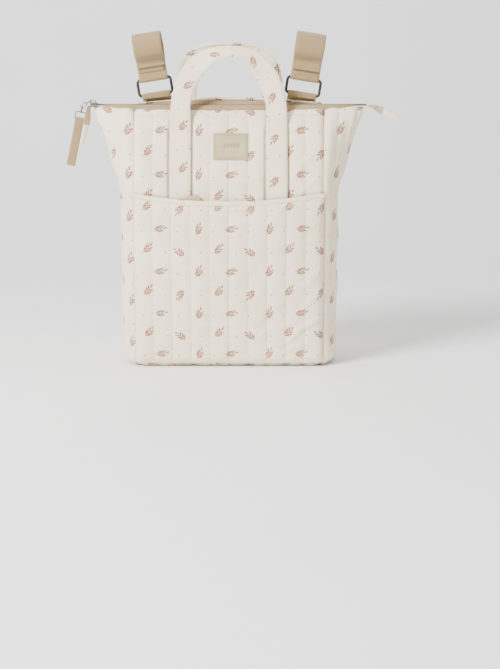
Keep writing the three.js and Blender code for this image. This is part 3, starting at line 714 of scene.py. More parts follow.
def panel_grid(side):
    x, s = np.meshgrid(np.linspace(-PANEL_HALF + 0.2, PANEL_HALF - 0.2, 197),
                       np.linspace(0, WALL_LENGTH, 212))
    base = panel_surface(x, s, side)
    out = normals_of(base, np.array([0, side, 0.0]))
    centre = HANDLE_X[side]
    pressed = under_handle(x, s, centre, ARC + HANDLE_STITCH - BASE_RADIUS)
    if side < 0:
        over = (1 - step(27, 32, np.abs(x - LABEL_X))) * (1 - step(20, 26, np.abs(s - ARC + 18 - LABEL_Z)))
    else:
        over = (1 - step(23, 29, np.abs(np.abs(x) - ANCHOR_X))) * step(352, 362, s)
    pressed = np.maximum(pressed, over)
    height = quilting(x, s) * (1 - 0.97 * pressed) + creased(x, s, PANEL_CREASES[side]) * (1 - pressed)
    beside = np.abs(np.abs(x) - centre) - HANDLE_WIDTH / 2
    sewn = step(ARC + 190, ARC + 215, s) * (1 - step(ARC + 338, ARC + 352, s))
    edge = seam_edges(x, s, PANEL_HALF, WALL_LENGTH) - 1.3 * bump(beside, 1.2, 1.5) * sewn
    ends = step(0, 14, s) * (1 - 0.75 * step(WALL_LENGTH - 12, WALL_LENGTH - 2, s))
    height = height * ends * step(0, 9, PANEL_HALF - np.abs(x)) + edge
    outer = base + out * height[..., None]
    inner = base - out * (FABRIC - 0.2 + np.maximum(0, -height))[..., None]
    return outer, inner, out, x, s


def build_panel(side):
    word = "front" if side < 0 else "back"
    outer, inner, out, x, s = panel_grid(side)
    sheet = (outer, out, x, s)
    line = np.arange(ARC + 215 if side < 0 else 20, WALL_LENGTH - 10, 1.0)
    runs = []
    for k in range(-4, 5):
        if abs(abs(k * CHANNEL) - HANDLE_X[side]) <= HANDLE_WIDTH / 2 + 0.5:
            continue
        spans = [line]
        if side < 0 and abs(k * CHANNEL - LABEL_X) < 27:
            spans = [line[line < ARC + 299], line[line > ARC + 343]]
        runs += [sewn_line(sheet, k * CHANNEL, span, QUILT_STITCH) for span in spans]
    runs.append(sewn_line(sheet, np.arange(-140, 140, 1.0), WALL_LENGTH - 9.5, PANEL_HEM_STITCH))
    obj = cloth_piece(f"quilted_{word}", outer, inner, (x, s), PRINTED, (runs, QUILT_THREAD))
    finish_piece(obj, "bag", [f"{word}_panel"])


GUSSET_CREASES = [
    (-20, 400, -6, 300, 6, 2.2), (24, 404, 10, 296, 6, 2.0), (-44, 330, -16, 252, 6, 1.8),
    (44, 334, 18, 250, 6, 1.8), (0, 300, -4, 236, 7, -1.8), (-40, 70, -8, 38, 7, 1.6),
    (42, 72, 6, 40, 7, 1.6), (-30, 190, 12, 176, 8, 1.0), (30, 140, -14, 120, 8, 1.0),
]


def build_gusset(side):
    word = "left" if side < 0 else "right"
    t, s = np.meshgrid(np.linspace(-1, 1, 91) * (1 - GAP / 57), np.linspace(0, WALL_LENGTH, 212))
    base = gusset_surface(t, s, side)
    base[..., 0] += side * GAP
    out = normals_of(base, np.array([side, 0.0, 0.0]))
    flat = t * GUSSET_HALF
    height = quilting(flat + CHANNEL / 2, s + 40 * side) + creased(flat, s, GUSSET_CREASES)
    height = height + 1.8 * noise(flat / 55, s / 34, 15 + side) * (1 - step(230, 320, s))
    apex = bump(flat, 0, 9) * step(320, 380, s)
    ends = step(0, 14, s) * (1 - 0.6 * step(WALL_LENGTH - 14, WALL_LENGTH, s))
    from_seam = GUSSET_HALF - np.abs(flat)
    height = height * ends * step(0, 9, from_seam) * (1 - 0.8 * apex) - 2.1 * bump(from_seam, 0, 2.2)
    outer = base + out * height[..., None]
    inner = base - out * (1.6 - 0.9 * apex + np.maximum(0, -height))[..., None]
    flat_u = side * (PANEL_HALF + GUSSET_HALF + flat)
    obj = cloth_piece(f"quilted_gusset_{word}", outer, inner, (flat_u, s), PRINTED)
    finish_piece(obj, "bag", [f"{word}_gusset"])


def build_base():
    half_x, half_y = PANEL_HALF - 0.4 * BASE_RADIUS - GAP, float(half_depth(0)) - BASE_RADIUS - GAP
    x, y = np.meshgrid(np.linspace(-half_x, half_x, 140), np.linspace(-half_y, half_y, 50))
    edge = np.minimum(half_x - np.abs(x), half_y - np.abs(y))
    lift = 0.9 * bump(edge, 0, 2.5) + 0.25 * (1 + layered(x / 22, y / 22, 61)) * step(0, 8, edge)
    lower = np.stack([x, y, np.maximum(lift, 0.02)], -1)
    upper = np.stack([x, y, np.full_like(x, FABRIC)], -1)
    obj = cloth_piece("sewn_base", lower, upper, (x, y), PRINTED)
    finish_piece(obj, "bag", ["base_panel"])


def lining_ring(s):
    """One loop of the lining round the bag's inside, at a distance s up the wall."""
    z, wall_inset, knot = (float(v) for v in wall_level(np.array(s)))
    inset = LINING_INSET
    if s < ARC:
        angle, radius = s / BASE_RADIUS, BASE_RADIUS - LINING_INSET
        z, inset = BASE_RADIUS - radius * math.cos(angle), BASE_RADIUS - radius * math.sin(angle)
    extra = inset - wall_inset
    depth = float(half_depth(knot))
    stand = max(0.8, float(stand_at(knot)) - 1.1 * wall_inset)
    edge = PANEL_HALF - 0.4 * wall_inset
    seam = edge - extra
    apex = edge + stand - extra * math.hypot(1, stand / depth)
    fold = 2.2 - 0.9 * float(step(230, SHELL_TOP, knot))
    loop = []
    for side in (-1, 1):
        x = np.linspace(-seam, seam, 40) * -side
        y = side * (depth - inset + crown(x, knot) * (1 - wall_inset / BASE_RADIUS))
        loop.append(np.stack([x, y, lifted(z, x, side)], -1)[:-1])
        t = np.linspace(side, -side, 24)
        x = -side * (seam + (apex - seam) * (1 - np.abs(t) ** fold))
        loop.append(np.stack([x, t * (depth - inset), lifted(z, x, t)], -1)[:-1])
    return np.vstack(loop)


def build_lining():
    heights = np.concatenate([np.linspace(0, ARC, 8), np.linspace(ARC + 6, 372, 60)])
    outer = np.array([lining_ring(s) for s in heights])
    out = normals_of(outer, outer * np.array([1, 1, 0]))
    girth = np.linspace(0, 1, outer.shape[1], endpoint=False) * LINING_GIRTH
    u, v = np.meshgrid(girth, np.linspace(0, 390, len(outer)))
    outer = outer - out * (0.5 * (1 + layered(u / 30, v / 30, 71)))[..., None]
    inner = outer - out * 0.7
    floor = np.linspace(0.02, 1, 14)[:-1]
    cap = lambda ring: np.stack([ring * np.array([k, k, 1]) for k in floor])
    outer = np.concatenate([cap(outer[0]), outer])
    inner = np.concatenate([cap(inner[0]), inner])
    inner[:len(floor) + 1, :, 2] += 0.7
    flat = np.meshgrid(girth, np.linspace(-40, 390, len(outer)))
    obj = cloth_piece("sewn_lining", outer, inner, flat, LINING, wrap=True)
    finish_piece(obj, "bag", ["lining"])


# -------------------------------------------------------------- front pocket
POCKET_HALF, POCKET_LOW = 143.4, 7.0
# The folded hem from its lower edge to its lip: distance below the mouth, distance off the pocket.
HEM_FOLD = [
    (7.2, FABRIC + 0.1), (6.9, FABRIC + 0.7), (6.2, FABRIC + 0.95), (4.5, FABRIC + 1.0),
    (2.0, FABRIC + 1.1), (0.4, FABRIC + 0.9), (-0.5, FABRIC + 0.3), (-0.7, 1.2),
]


def pocket_mouth(x):
    q = x / PANEL_HALF
    return 257.5 + 10.5 * q * q + 0.6 * q


def pocket_room(x, z):
    return 9 * np.maximum(0, 1 - (x / POCKET_HALF) ** 4) * step(15, 120, z)


POCKET_CREASES = [
    (-142, 66, -92, 34, 5, 2.4), (-138, 100, -108, 68, 5, 2.0), (-132, 34, -90, 20, 4, 1.8),
    (140, 78, 84, 38, 5, 2.8), (142, 118, 104, 84, 5, 2.2), (130, 40, 84, 24, 4, 2.0),
    (142, 154, 112, 128, 5, 1.7), (96, 70, 40, 48, 5, 1.5), (-84, 60, -40, 36, 5, 1.4),
    (-20, 62, 30, 48, 5, 1.4), (58, 150, 100, 136, 5, 1.3), (-100, 178, -58, 166, 5, 1.2),
    (104, 214, 138, 228, 5, 1.5), (-138, 232, -104, 212, 5, 1.5), (16, 120, 48, 108, 5, 1.1),
    (-60, 122, -22, 134, 5, 1.1), (-30, 206, 26, 214, 6, 1.2), (48, 96, 84, 104, 4, 1.1),
]


def build_pocket():
    x, k = np.meshgrid(np.linspace(-POCKET_HALF, POCKET_HALF, 197), np.linspace(0, 1, 136))
    z = POCKET_LOW + (pocket_mouth(x) - POCKET_LOW) * k
    knot = np.maximum(z, BASE_RADIUS)
    drop = BASE_RADIUS - np.sqrt(np.maximum(BASE_RADIUS ** 2 - np.maximum(0, BASE_RADIUS - z) ** 2, 0))
    y = -(half_depth(knot) - drop + crown(x, knot) * (1 - drop / BASE_RADIUS)) - GAP - pocket_room(x, z)
    inner = np.stack([x * (1 - 0.4 * drop / PANEL_HALF), y, lifted(z, x, -1)], -1)
    out = normals_of(inner, np.array([0, -1.0, 0]))
    from_mouth, from_side = pocket_mouth(x) - z, POCKET_HALF - np.abs(x)
    height = quilting(x, z + ARC) + creased(x, z, POCKET_CREASES)
    height = height * step(2, 14, from_mouth) * step(0, 10, z - POCKET_LOW) * step(0, 9, from_side)
    gather = 0.5 * layered(x / 9, z / 30, 31, 2) * bump(from_mouth, 9, 7)
    height = height - 2.1 * bump(from_side, 0, 2.4) + gather
    outer = inner + out * (FABRIC + height)[..., None]
    runs = []
    for c in range(-4, 5):
        rise = float(pocket_mouth(c * CHANNEL)) - POCKET_LOW
        line = np.arange(8, rise - 8, 1.0)
        runs.append(sewn_line((outer, out, x, k), c * CHANNEL, line / rise, QUILT_STITCH))
    obj = cloth_piece("pocket_front", outer, inner, (x, z - 38.7), PRINTED, (runs, QUILT_THREAD))
    finish_piece(obj, "bag", ["front_pocket"])
    build_hem((inner, out, x, k))
    build_pocket_lining()


def build_hem(pocket):
    """A folded band over the pocket's mouth, sewn down along its lower edge."""
    x = np.linspace(-POCKET_HALF + 0.3, POCKET_HALF - 0.3, 260)
    rise = pocket_mouth(x) - POCKET_LOW
    below_mouth = lambda down: line_on(pocket, x, (rise - down) / rise, 0)
    mouth_normal = below_mouth(0.0)[1]
    wave = 0.5 * layered(x / 13, x * 0, 41, 2)
    outer, inner = [], []
    for down, off in HEM_FOLD:
        points, normal = below_mouth(max(down, 0.0))
        outer.append(points + normal * (off + wave * step(-1, 5, down))[..., None])
        outer[-1][:, 2] += max(0.0, -down)
        inner.append(points + mouth_normal * 0.4)
    outer, inner = np.array(outer), np.array(inner)
    inner[-1] = outer[-1] + np.array([0, 0.5, -0.4])
    inner[-2] = outer[-2] + np.array([0, 1.2, -0.8])
    line, normal = below_mouth(5.4)
    sewn = stitch_run(line + normal * (FABRIC + 1.0), normal, CREAM_STITCH)
    flat = np.meshgrid(x, np.linspace(260, 268, len(HEM_FOLD)))
    obj = cloth_piece("pocket_hem_band", outer, inner, flat, PRINTED, ([sewn], THREAD))
    finish_piece(obj, "bag", ["pocket_hem"])


def build_pocket_lining():
    x, k = np.meshgrid(np.linspace(-119, 119, 160), np.linspace(0, 1, 60))
    top = pocket_mouth(x) - 1.2 + 11 * np.clip(np.minimum((x + 86) / 38, (-40 - x) / 5), 0, 1)
    z = 60 + (top - 60) * k
    y = wall_y(x, z, -1) - GAP - pocket_room(x, z) + 0.45
    ripple = 0.25 * np.abs(layered(x / 14, z / 14, 51))
    front = np.stack([x, y + ripple, lifted(z, x, -1)], -1)
    back = front + np.array([0, 0.7, 0])
    obj = cloth_piece("pocket_lining_cloth", front, back, (x, z), BEIGE)
    finish_piece(obj, "bag", ["pocket_lining"])


# --------------------------------------------------------------------- label
LABEL_X, LABEL_HALF = 3.0, 26.0
LABEL_LOW, LABEL_HIGH, LABEL_Z = 319.5, 359.0, 339.3


def build_label():
    left, right = LABEL_X - LABEL_HALF, LABEL_X + LABEL_HALF
    x, z = np.meshgrid(np.linspace(left, right, 40), np.linspace(LABEL_LOW, LABEL_HIGH, 34))
    back = np.stack([x, wall_y(x, z, -1) - GAP, lifted(z, x, -1)], -1)
    out = normals_of(back, np.array([0, -1.0, 0]))
    edge = np.minimum(LABEL_HALF - np.abs(x - LABEL_X), 19.7 - np.abs(z - LABEL_Z))
    height = 1.15 - 0.5 * np.exp(-(edge / 1.2) ** 2) + 0.12 * layered(x / 12, z / 12, 81)
    outer = back + out * height[..., None]
    sheet = (outer, out, x, z)
    runs = []
    for inset in (2.4, 3.6):
        x0, x1, z0, z1 = left + inset, right - inset, LABEL_LOW + inset, LABEL_HIGH - inset
        corners = [(x0, z0), (x1, z0), (x1, z1), (x0, z1)]
        for start, end in zip(corners, corners[1:] + corners[:1]):
            xs, zs = np.linspace(start, end, 60).T
            runs.append(sewn_line(sheet, xs, zs, LABEL_STITCH))
    obj = cloth_piece("woven_label", outer, back, (x, z), LABEL, (runs + leaf_motif(sheet), BROWN_THREAD))
    finish_piece(obj, "bag", ["label"])


def leaf_motif(sheet):
    """A plain embroidered twig with five pairs of leaves, lying along the label."""
    bent = lambda x: LABEL_Z + 2.0 * np.sin((x + 11) / 28 * math.pi)
    xs = np.linspace(-11, 17, 60)
    runs = [sewn_line(sheet, xs, bent(xs), STEM_STITCH)]
    leaf = np.linspace(0.6, 5.4, 8) * 0.72
    for k in range(5):
        for sign in (-1, 1):
            root = -8 + k * 5 + (1.2 if sign > 0 else 0)
            for spread in (-0.6, 0.0, 0.6):
                lz = bent(root) + sign * (leaf - abs(spread) * 0.3)
                runs.append(sewn_line(sheet, root + leaf + spread * 0.5, lz, LEAF_STITCH))
    return runs


# ------------------------------------------------------------------- handles
ARCH = {
    -1: [(72.5, -33, 380), (71, -28.5, 402), (64, -22, 428), (50, -17, 452), (29, -14, 470), (0, -13, 477)],
    1: [(66, 33.5, 394), (65.5, 29.5, 420), (63.5, 27, 444), (54, 25, 464), (30, 24, 477), (0, 23.5, 481)],
}
ROOT_HEIGHTS, ROOT_LENGTH = (236, 262, 283, 304, 332, 357), 137.0


def build_handle(word, side):
    centre = HANDLE_X[side]
    half = [(centre, float(wall_y(centre, z, side)) + side * (GAP + HANDLE_THICK / 2 + 0.15),
             float(lifted(z, centre, side))) for z in ROOT_HEIGHTS] + ARCH[side]
    path, at = resample([(-a, b, c) for a, b, c in half] + half[:-1][::-1], 2.0)
    loose = step(HANDLE_STITCH + 4, HANDLE_STITCH + 60, path[:, 2])
    path[:, 0] += 0.9 * loose * np.sin(at / 31 + side)
    path[:, 1] += 1.2 * loose * np.sin(at / 47 + 2 * side)
    along = tangents_of(path)
    outward = unit(np.stack([-along[:, 2], np.zeros(len(path)), along[:, 0]], -1))
    outward[outward[:, 0] * path[:, 0] + outward[:, 2] * 30 < 0] *= -1
    round_loop = np.clip((at - ROOT_LENGTH) / (at[-1] - 2 * ROOT_LENGTH), 0, 1)
    turn = 0.6 * step(0.2, 0.5, 0.5 - np.abs(round_loop - 0.5))[:, None]
    face = np.array([0.0, side, 0.0]) * (1 - turn) + outward * turn
    face = unit(face - along * (face * along).sum(1, keepdims=True))
    across = np.cross(along, face)
    pinch = 1 - 0.05 * loose * (1 + np.sin(at / 23 + 1))
    sewn_half, runs = HANDLE_WIDTH / 2 - 3.2, []
    for edge in (-1, 1):
        for facing in (-1, 1):
            keep = path[:, 2] > (HANDLE_STITCH + 4 if facing < 0 else 0)
            line = path + across * edge * sewn_half + face * facing * (HANDLE_THICK / 2 * 0.86)
            runs.append(stitch_run(line[keep], (face * facing)[keep], CREAM_STITCH))
    for end in (1, -1):
        order = np.arange(len(path))[::end]
        k = order[np.argmax(path[order, 2] > HANDLE_STITCH - 3.5)]
        for row in (k, k + 3 * end):
            runs.append(cross_stitches(path, face, across, row, sewn_half, HANDLE_THICK / 2, ROOT_STITCH))
    section = strap_section(HANDLE_WIDTH, HANDLE_THICK, 0.3, 17)
    obj = sweep(f"handle_{word}", path, face, across * pinch[:, None], section, PRINTED, (runs, THREAD),
                v_start=12.0 if side < 0 else 40.0, u_shift=19.0 * side)
    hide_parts(f"{word}_handle_left_root", f"{word}_handle_right_root", f"{word}_handle_loop")
    low = float(lifted(HANDLE_STITCH, centre, side)) * MM
    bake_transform(obj)


# ----------------------------------------------------------- webbing and rings
def tilted(centre_x, points):
    """Rings and straps hang tilted outwards; the tilt fades into the top seam."""
    points = np.asarray(points, float)
    angle = math.copysign(STRAP_TILT, centre_x) * np.clip((points[..., 2] - STRAP_PIVOT) / 5, 0, 1)
    dx, dz = points[..., 0] - centre_x, points[..., 2] - STRAP_PIVOT
    return np.stack([centre_x + dx * np.cos(angle) + dz * np.sin(angle), points[..., 1],
                     STRAP_PIVOT + dz * np.cos(angle) - dx * np.sin(angle)], -1)


def yz_strap(name, line, centre_x, body, node, thick=WEBBING_THICK, margin=0.0, look=None, rows=(), sewn=6.0,
             crossed=False):
    """Webbing that follows a line in the YZ plane, tilted with its ring.

    It has rows of stitches across at distances along it, on both faces; a distance
    below 0 counts from the end. A crossed strap also has the two diagonals between them.
    """
    path, at = resample([(centre_x, y, z) for y, z in line], 1.2)
    left, right = (tilted(centre_x, path + np.array([w, 0, 0])) for w in (-1.0, 1.0))
    across = unit(right - left)
    path = tilted(centre_x, path)
    face = unit(np.cross(across, tangents_of(path)))
    half_sewn, runs = (WEBBING_WIDTH - sewn) / 2, []
    for side in (-1, 1):
        lift = side * thick / 2
        for where in rows:
            k = int(np.argmin(np.abs(at - where % at[-1])))
            runs.append(cross_stitches(path, face, across, k, half_sewn, lift, WEBBING_STITCH))
        for slant in (-1, 1) if crossed else ():
            w = np.linspace(-1, 1, 40)
            k = (np.interp(w, (-1, 1), rows) / at[-1] * (len(at) - 1)).astype(int)
            diagonal = path[k] + (w * slant * half_sewn)[:, None] * across[k] + face[k] * lift
            runs.append(stitch_run(diagonal, face[k] * side, WEBBING_STITCH))
    section = strap_section(WEBBING_WIDTH - margin, thick, 0.05, 15)
    obj = sweep(name, path, face, across, section, look or WEBBING, (runs, TAN_THREAD) if runs else None)
    finish_piece(obj, body, [node])


def arc(centre, radius, start, end, steps):
    angle = np.linspace(start, end, steps + 1)
    return [(centre[0] + radius * math.cos(a), centre[1] + radius * math.sin(a)) for a in angle]


def build_stroller_strap(word, sign):
    x = sign * ANCHOR_X
    build_ring(word, x)
    build_anchor(word, x)
    fold = RING_WIRE + GAP + WEBBING_THICK / 2
    layer = WEBBING_THICK / 2 + 0.15
    centre = (RING_Y, LOOP_CENTRE)
    meet = math.acos(layer / LOOP_RADIUS)
    strap = [(RING_Y - layer, 463), (RING_Y - layer, 446), (RING_Y - 2.2, 441.5)]
    strap += arc((RING_Y, RING_HIGH), fold, math.pi, 2 * math.pi, 6)
    strap += [(RING_Y + 2.2, 441.5), (RING_Y + layer, 446), (RING_Y + layer, 463.4)]
    strap += arc(centre, LOOP_RADIUS, -meet + 0.12, math.pi / 2 - 0.004, 10)
    yz_strap(f"strap_webbing_{word}", strap, x, f"{word}_strap", f"stroller_strap_{word}",
             rows=(14.0, 17.5), sewn=7.0)

    end = FLAP_END[word]
    flap_y = RING_Y - layer - WEBBING_THICK - 2 * (PAD_THICK + 0.3) - 0.3
    flap = arc(centre, LOOP_RADIUS, math.pi / 2 + 0.004, math.pi * 1.22, 10)
    flap += [(RING_Y - 9.6, 467.4), (flap_y, 463), (flap_y, end)]
    yz_strap(f"flap_webbing_{word}", flap, x, f"{word}_flap", f"strap_flap_{word}",
             rows=(-1.8, -8.2), sewn=5.0)

    loop_y = RING_Y - layer - WEBBING_THICK / 2 - 0.3 - PAD_THICK / 2
    hook_y = loop_y - PAD_THICK - 0.3
    for kind, y, low, body in (("loop", loop_y, 447.5, "strap"), ("hook", hook_y, end + 1.5, "flap")):
        yz_strap(f"{kind}_tape_{word}", [(y, 461.5), (y, (461.5 + low) / 2), (y, low)], x,
                 f"{word}_{body}", f"{kind}_pad_{word}", PAD_THICK, margin=6.0, look=HOOK)


def wire_ring(name, centre, half_u, half_v, corner, wire, axis_u, axis_v, look, flat=1.0, count=14):
    """A rectangular ring of wire with round corners, lying along two directions."""
    points, out = [], []
    for k, (su, sv) in enumerate(((1, 1), (-1, 1), (-1, -1), (1, -1))):
        for angle in np.linspace(0, math.pi / 2, 8) + k * math.pi / 2:
            away = axis_u * math.cos(angle) + axis_v * math.sin(angle)
            straight = axis_u * su * (half_u - corner) + axis_v * sv * (half_v - corner)
            points.append(centre + straight + away * corner)
            out.append(away)
    across = np.broadcast_to(np.cross(axis_u, axis_v), (len(out), 3))
    angle = np.linspace(0, 2 * math.pi, count, endpoint=False)
    section = np.stack([np.sin(angle) * wire * flat, np.cos(angle) * wire], -1)
    return sweep(name, np.array(points), np.array(out), across, section, look, closed=True)


def build_ring(word, x):
    angle = math.copysign(STRAP_TILT, x)
    level = np.array([math.cos(angle), 0, -math.sin(angle)])
    upright = np.array([math.sin(angle), 0, math.cos(angle)])
    centre = tilted(x, (x, RING_Y, (RING_LOW + RING_HIGH) / 2))
    obj = wire_ring(f"moulded_ring_{word}", centre, RING_HALF, (RING_HIGH - RING_LOW) / 2, 4.5,
                    RING_WIRE, level, upright, BLACK, flat=0.86, count=18)
    finish_piece(obj, f"{word}_ring", [f"strap_ring_{word}"])


def build_anchor(word, x):
    fold = RING_WIRE + GAP + WEBBING_THICK / 2
    line = [(float(wall_y(x, z, 1)) + GAP + WEBBING_THICK / 2 + 0.2, float(lifted(z, x, 1)))
            for z in (362, 370, 378, 386, 393)]
    line += arc((RING_Y, RING_LOW), fold, 0, math.pi, 8)
    line += [(RING_Y - fold, 407.5)]
    yz_strap(f"anchor_webbing_{word}", line, x, "bag", f"strap_anchor_{word}", rows=(3.0, 26.0), crossed=True)


# ------------------------------------------------------------------------ zip
ZIP_HALF, COIL_Z, COIL_PITCH = 212.0, 397.1, 2.4
BAND_ROWS = ((6.5, -0.25), (5.2, 0.05), (3.4, 0.12), (1.2, 0.0))
COIL_TURN = ((-3.1, 0.35), (-2.9, 1.25), (-1.2, 1.5), (0.5, 1.3), (0.75, 0.6), (0.2, 0.1), (-2.6, 0.05))
BINDING_ROWS = ((1.0, -3.9), (1.5, -2.6), (1.6, -1.0), (1.2, 0.6), (0.2, 1.6))


def zip_sag(x):
    """The closed zip hangs a little between the corners of the bag."""
    return -1.2 * np.maximum(0, 1 - (x / 190) ** 2) ** 1.5


def build_zip():
    x = np.linspace(-ZIP_HALF, ZIP_HALF, 300)
    for word, side in (("front", -1), ("back", 1)):
        outer = np.array([np.stack([x, np.full_like(x, side * y), TAPE_LOW + 0.85 + up + zip_sag(x)
                                    + 0.15 * layered(x / 18, x * 0 + y, 91, 2)], -1) for y, up in BAND_ROWS])
        line = outer[1] + np.array([0, 0, 0.1])
        sewn = stitch_run(line, np.full_like(line, (0, 0, 1)), ZIP_STITCH)
        flat = np.meshgrid(x, np.array([0, 1.3, 3.1, 5.3]))
        obj = cloth_piece(f"zip_band_{word}", outer, outer - np.array([0, 0, 0.7]), flat, ZIP_TAPE,
                          ([sewn], TAN_THREAD))
        finish_piece(obj, "bag", [f"zip_tape_{word}"], "beige_tape")
        part_with_slider(obj)
        build_coil(word, side)
        build_facing(word, side)


def build_coil(word, side):
    """The zip's nylon coil: one turn of wire after another, hooked over the middle."""
    around = np.linspace(0, 2 * math.pi, 6, endpoint=False)
    section = np.stack([np.cos(around) * 0.62, np.sin(around) * 0.42], -1)
    level = np.full((len(COIL_TURN), 3), (1.0, 0, 0))
    turns = []
    for x in np.arange(-ZIP_HALF + 2, ZIP_HALF - 2, COIL_PITCH) + (0.0 if side < 0 else COIL_PITCH / 2):
        base = COIL_Z + float(zip_sag(x))
        line = np.array([(x + 0.12 * k, -side * a, base + b) for k, (a, b) in enumerate(COIL_TURN)])
        turns.append(tube(line, unit(np.cross(tangents_of(line), level)), level, section))
    verts, faces = join_parts(turns)
    obj = make_object(f"coil_teeth_{word}", verts, faces, verts[:, :2] * MM, COIL)
    finish_piece(obj, "bag", [f"zip_coil_{word}"])
    part_with_slider(obj)


def part_with_slider(obj):
    """Gives the zip piece its own copy of its mesh."""
    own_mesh(obj)


def build_facing(word, side):
    """The beige strip between the zip and the quilted edge; it binds the front edge."""
    x = np.linspace(-190, 190, 290)
    narrow = np.clip((206 - np.abs(x)) / 62, 0.02, 1)
    share = narrow ** 0.77
    edge_y = float(half_depth(SHELL_TOP)) * share
    wall = lifted(np.full_like(x, SHELL_TOP), x, side * share)
    tape = TAPE_LOW + 0.6 + zip_sag(x)
    wave = lambda k: 0.35 * layered(x / 20, x * 0 + k, 95 + side, 2)
    rows = []
    if side < 0:
        rows = [np.stack([x, -(edge_y + out), wall + up + 0.4 * wave(0)], -1) for out, up in BINDING_ROWS]
        first_y, first_z = edge_y - 1.2, wall + 2.0
    else:
        first_y, first_z = edge_y - FABRIC - 0.1, wall - 4.2 * step(0, 1, narrow)
    first_y = np.maximum(first_y, 5.3)
    end_y = np.clip(first_y - 0.3, 5.0, 5.9)
    for k in np.linspace(0, 1, 12):
        y = first_y + (end_y - first_y) * k
        lip = 1.5 * step(0.5, 0.9, k)
        z = first_z + (tape - first_z) * k + 1.2 * math.sin(k * math.pi) * narrow + lip + wave(k)
        rows.append(np.stack([x, side * y, z], -1))
    outer = np.array(rows)
    out = normals_of(outer, np.array([0, 0.7 * min(side, 0), 1.0]))
    sewn_rows = (-2, 1) if side < 0 else (-2,)
    sewn = [stitch_run(outer[row] + out[row] * 0.1, out[row], FACING_STITCH) for row in sewn_rows]
    flat = np.meshgrid(x, np.linspace(0, 14, len(rows)))
    obj = cloth_piece(f"zip_facing_{word}", outer, outer - out * 0.7, flat, ZIP_TAPE, (sewn, TAN_THREAD))
    finish_piece(obj, "bag", [f"top_facing_{word}"], "beige_tape")


LINKS = [
    ("pull_link_upper", (-211.2, 402.2), (-219, 399.6), 3.1, True),
    ("pull_link_middle", (-219, 399.6), (-224.5, 393.6), 2.6, False),
    ("pull_link_lower", (-224.5, 393.6), (-227, 385.6), 2.6, True),
    ("pull_loop", (-227, 385.6), (-228.8, 376.6), 7.6, False),
]


def build_pull():
    for name, start, end, half_wide, crosswise in LINKS:
        a, b = np.array([start[0], 0, start[1]]), np.array([end[0], 0, end[1]])
        along = unit(b - a)
        sideways = np.array([0, 1.0, 0]) if crosswise else np.array([along[2], 0, -along[0]])
        half_long = np.linalg.norm(b - a) / 2 + 0.95
        obj = wire_ring(f"{name}_wire", (a + b) / 2, half_long, half_wide, 2.2, 0.85, along, sideways, METAL)
        finish_piece(obj, "pull" if name == "pull_loop" else "pull_chain", [name])
    build_pull_tab()


def build_pull_tab():
    bar_x, bar_z = -228.98, 375.67
    length, width, lean = 72.0, 13.0, 0.22
    up = unit(np.array([lean, 0, 1.0]))
    leg = [(1.05, -7), (1.05, -length / 2), (1.05, -length)]
    line = [(-u, v) for u, v in leg[::-1]]
    line += [(2.1 * math.sin(a), 2.1 * math.cos(a)) for a in np.linspace(-math.pi * 0.6, math.pi * 0.6, 9)]
    path, _ = resample([np.array([bar_x, u, bar_z]) + up * v for u, v in line + leg], 1.2)
    path[:, 1] += 1.4 * np.sin(np.clip(bar_z - path[:, 2], 0, 80) / 26)
    across = np.full_like(path, (up[2], 0, -up[0]))
    face = unit(np.cross(across, tangents_of(path)))
    runs = edge_stitches(path, face, across, width, WEBBING_THICK / 2, TAB_STITCH)
    section = strap_section(width, 1.6, 0.1, 11)
    obj = sweep("pull_tab_webbing", path, face, across, section, WEBBING, (runs, TAN_THREAD))
    finish_piece(obj, "pull", ["pull_tab"])


# Each tail: its points (out, up), its turn at both ends, its width and its cloth.
TAILS = {
    "tail_tape_left": ([(-213.4, 395.6), (-214.9, 392.6), (-216, 386), (-217, 377), (-219, 367)],
                       0.25, 0.9, 13, BEIGE),
    "tail_tip_left": ([(-219.4, 365.2), (-221.6, 352), (-225.4, 339)], 0.9, 0.9, 8.5, PRINTED),
    "tail_tape_right": ([(212.6, 396), (219, 394.6), (227, 391.5), (235.5, 388)], 0.15, 1.15, 13, BEIGE),
    "tail_tip_right": ([(236.3, 387.4), (246, 382), (257, 375.5)], 1.15, 1.15, 13, PRINTED),
}


def build_tails():
    for name, (line, first, last, width, look) in TAILS.items():
        path, at = resample([(x, 0, z) for x, z in line], 0.9)
        share = at / at[-1]
        along = tangents_of(path)
        turn = (first + (last - first) * share)[:, None]
        upright = np.stack([-along[:, 2], np.zeros(len(path)), along[:, 0]], -1)
        across = np.array([0, 1.0, 0]) * np.cos(turn) + upright * np.sin(turn)
        face = unit(np.cross(along, across))
        path = path + face * (0.5 * np.sin(share * 5))[:, None]
        runs = edge_stitches(path, face, across, width, 0.95, TAIL_STITCH)
        section = strap_section(width, 2.2, 0.5, 11)
        obj = sweep(f"{name}_cloth", path, face, across, section, look, (runs, TAN_THREAD))
        finish_piece(obj, "bag", [name])


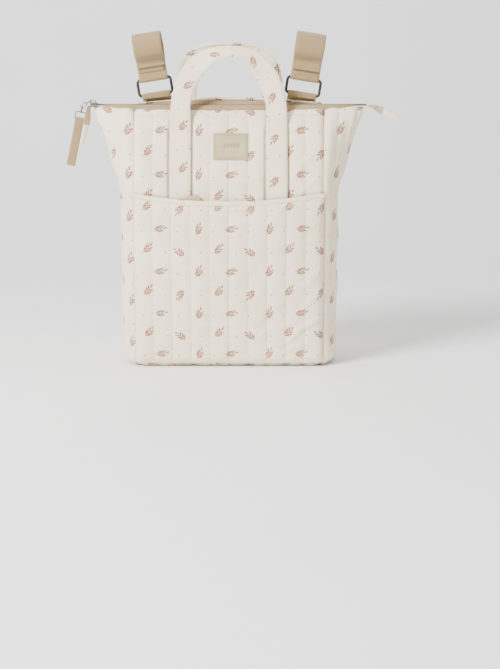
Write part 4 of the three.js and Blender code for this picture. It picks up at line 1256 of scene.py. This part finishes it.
def dress_cad_nodes():
    """CAD pieces whose shape is right keep it, with a bevel and a real material."""
    looks = {"zip_slider": (METAL, 0.00035), "slider_bow": (METAL, 0.0003), "base_board": (BOARD, 0.0004)}
    for name, (look, width) in looks.items():
        for slot in NODES[name].material_slots:
            slot.material = look
        bevel = NODES[name].modifiers.new("edge", "BEVEL")
        bevel.width = width
        bevel.segments = 3
        bevel.limit_method = "ANGLE"
        bevel.angle_limit = math.radians(35)


# --------------------------------------------------------------------- stage
def build_stage():
    rows = [(-3.0, 0.0), (1.0, 0.0)] + arc((1.0, 1.2), 1.2, 0.15 - math.pi / 2, 0, 11) + [(2.2, 4.0)]
    x = np.linspace(-4, 4, 30)
    grid = np.array([[(a, y, z) for a in x] for y, z in rows])
    material, n, shader = new_material("stage_paper", 0.9, specular=0.1)
    paper = n.mix(n.noise(n.where(), 3.0), (240, 240, 240), (246, 246, 246))
    set_surface(n, shader, paper, 0.9)
    verts, faces = grid.reshape(-1, 3), grid_faces(len(rows), len(x)).tolist()
    make_object("stage_floor", verts / MM, faces, verts[:, :2], material)


def add_light(name, at, target, size, power):
    data = bpy.data.lights.new(name, "AREA")
    data.shape = "RECTANGLE"
    data.size, data.size_y = size
    data.energy = power
    place(name, data, at, (Vector(target) - Vector(at)).to_track_quat("-Z", "Y").to_euler())


def build_lights():
    world = bpy.data.worlds.new("studio")
    world.use_nodes = True
    back = world.node_tree.nodes["Background"]
    back.inputs[0].default_value = (1.0, 0.98, 0.95, 1)
    back.inputs[1].default_value = 0.4
    bpy.context.scene.world = world
    add_light("key", (-1.9, -1.9, 1.9), (0, 0, 0.22), (1.0, 1.0), 245)
    add_light("fill", (1.9, -2.2, 0.9), (0, 0, 0.2), (1.8, 1.8), 36)
    add_light("top", (0.1, 0.2, 2.6), (0, 0, 0.2), (1.6, 1.2), 40)


def build_camera():
    data = bpy.data.cameras.new("camera")
    data.lens = 68.07
    data.sensor_width = 36
    data.clip_end = 50
    turn = (math.radians(90 - 10.55), 0, 0)
    bpy.context.scene.camera = place("camera", data, (0.032, -1.965, 0.406), turn)


build_camera()
build_lights()
build_stage()
build_panel(-1)
build_panel(1)
build_gusset(-1)
build_gusset(1)
build_base()
build_lining()
build_pocket()
build_label()
build_handle("front", -1)
build_handle("back", 1)
build_stroller_strap("left", -1)
build_stroller_strap("right", 1)
build_zip()
build_pull()
build_tails()
dress_cad_nodes()
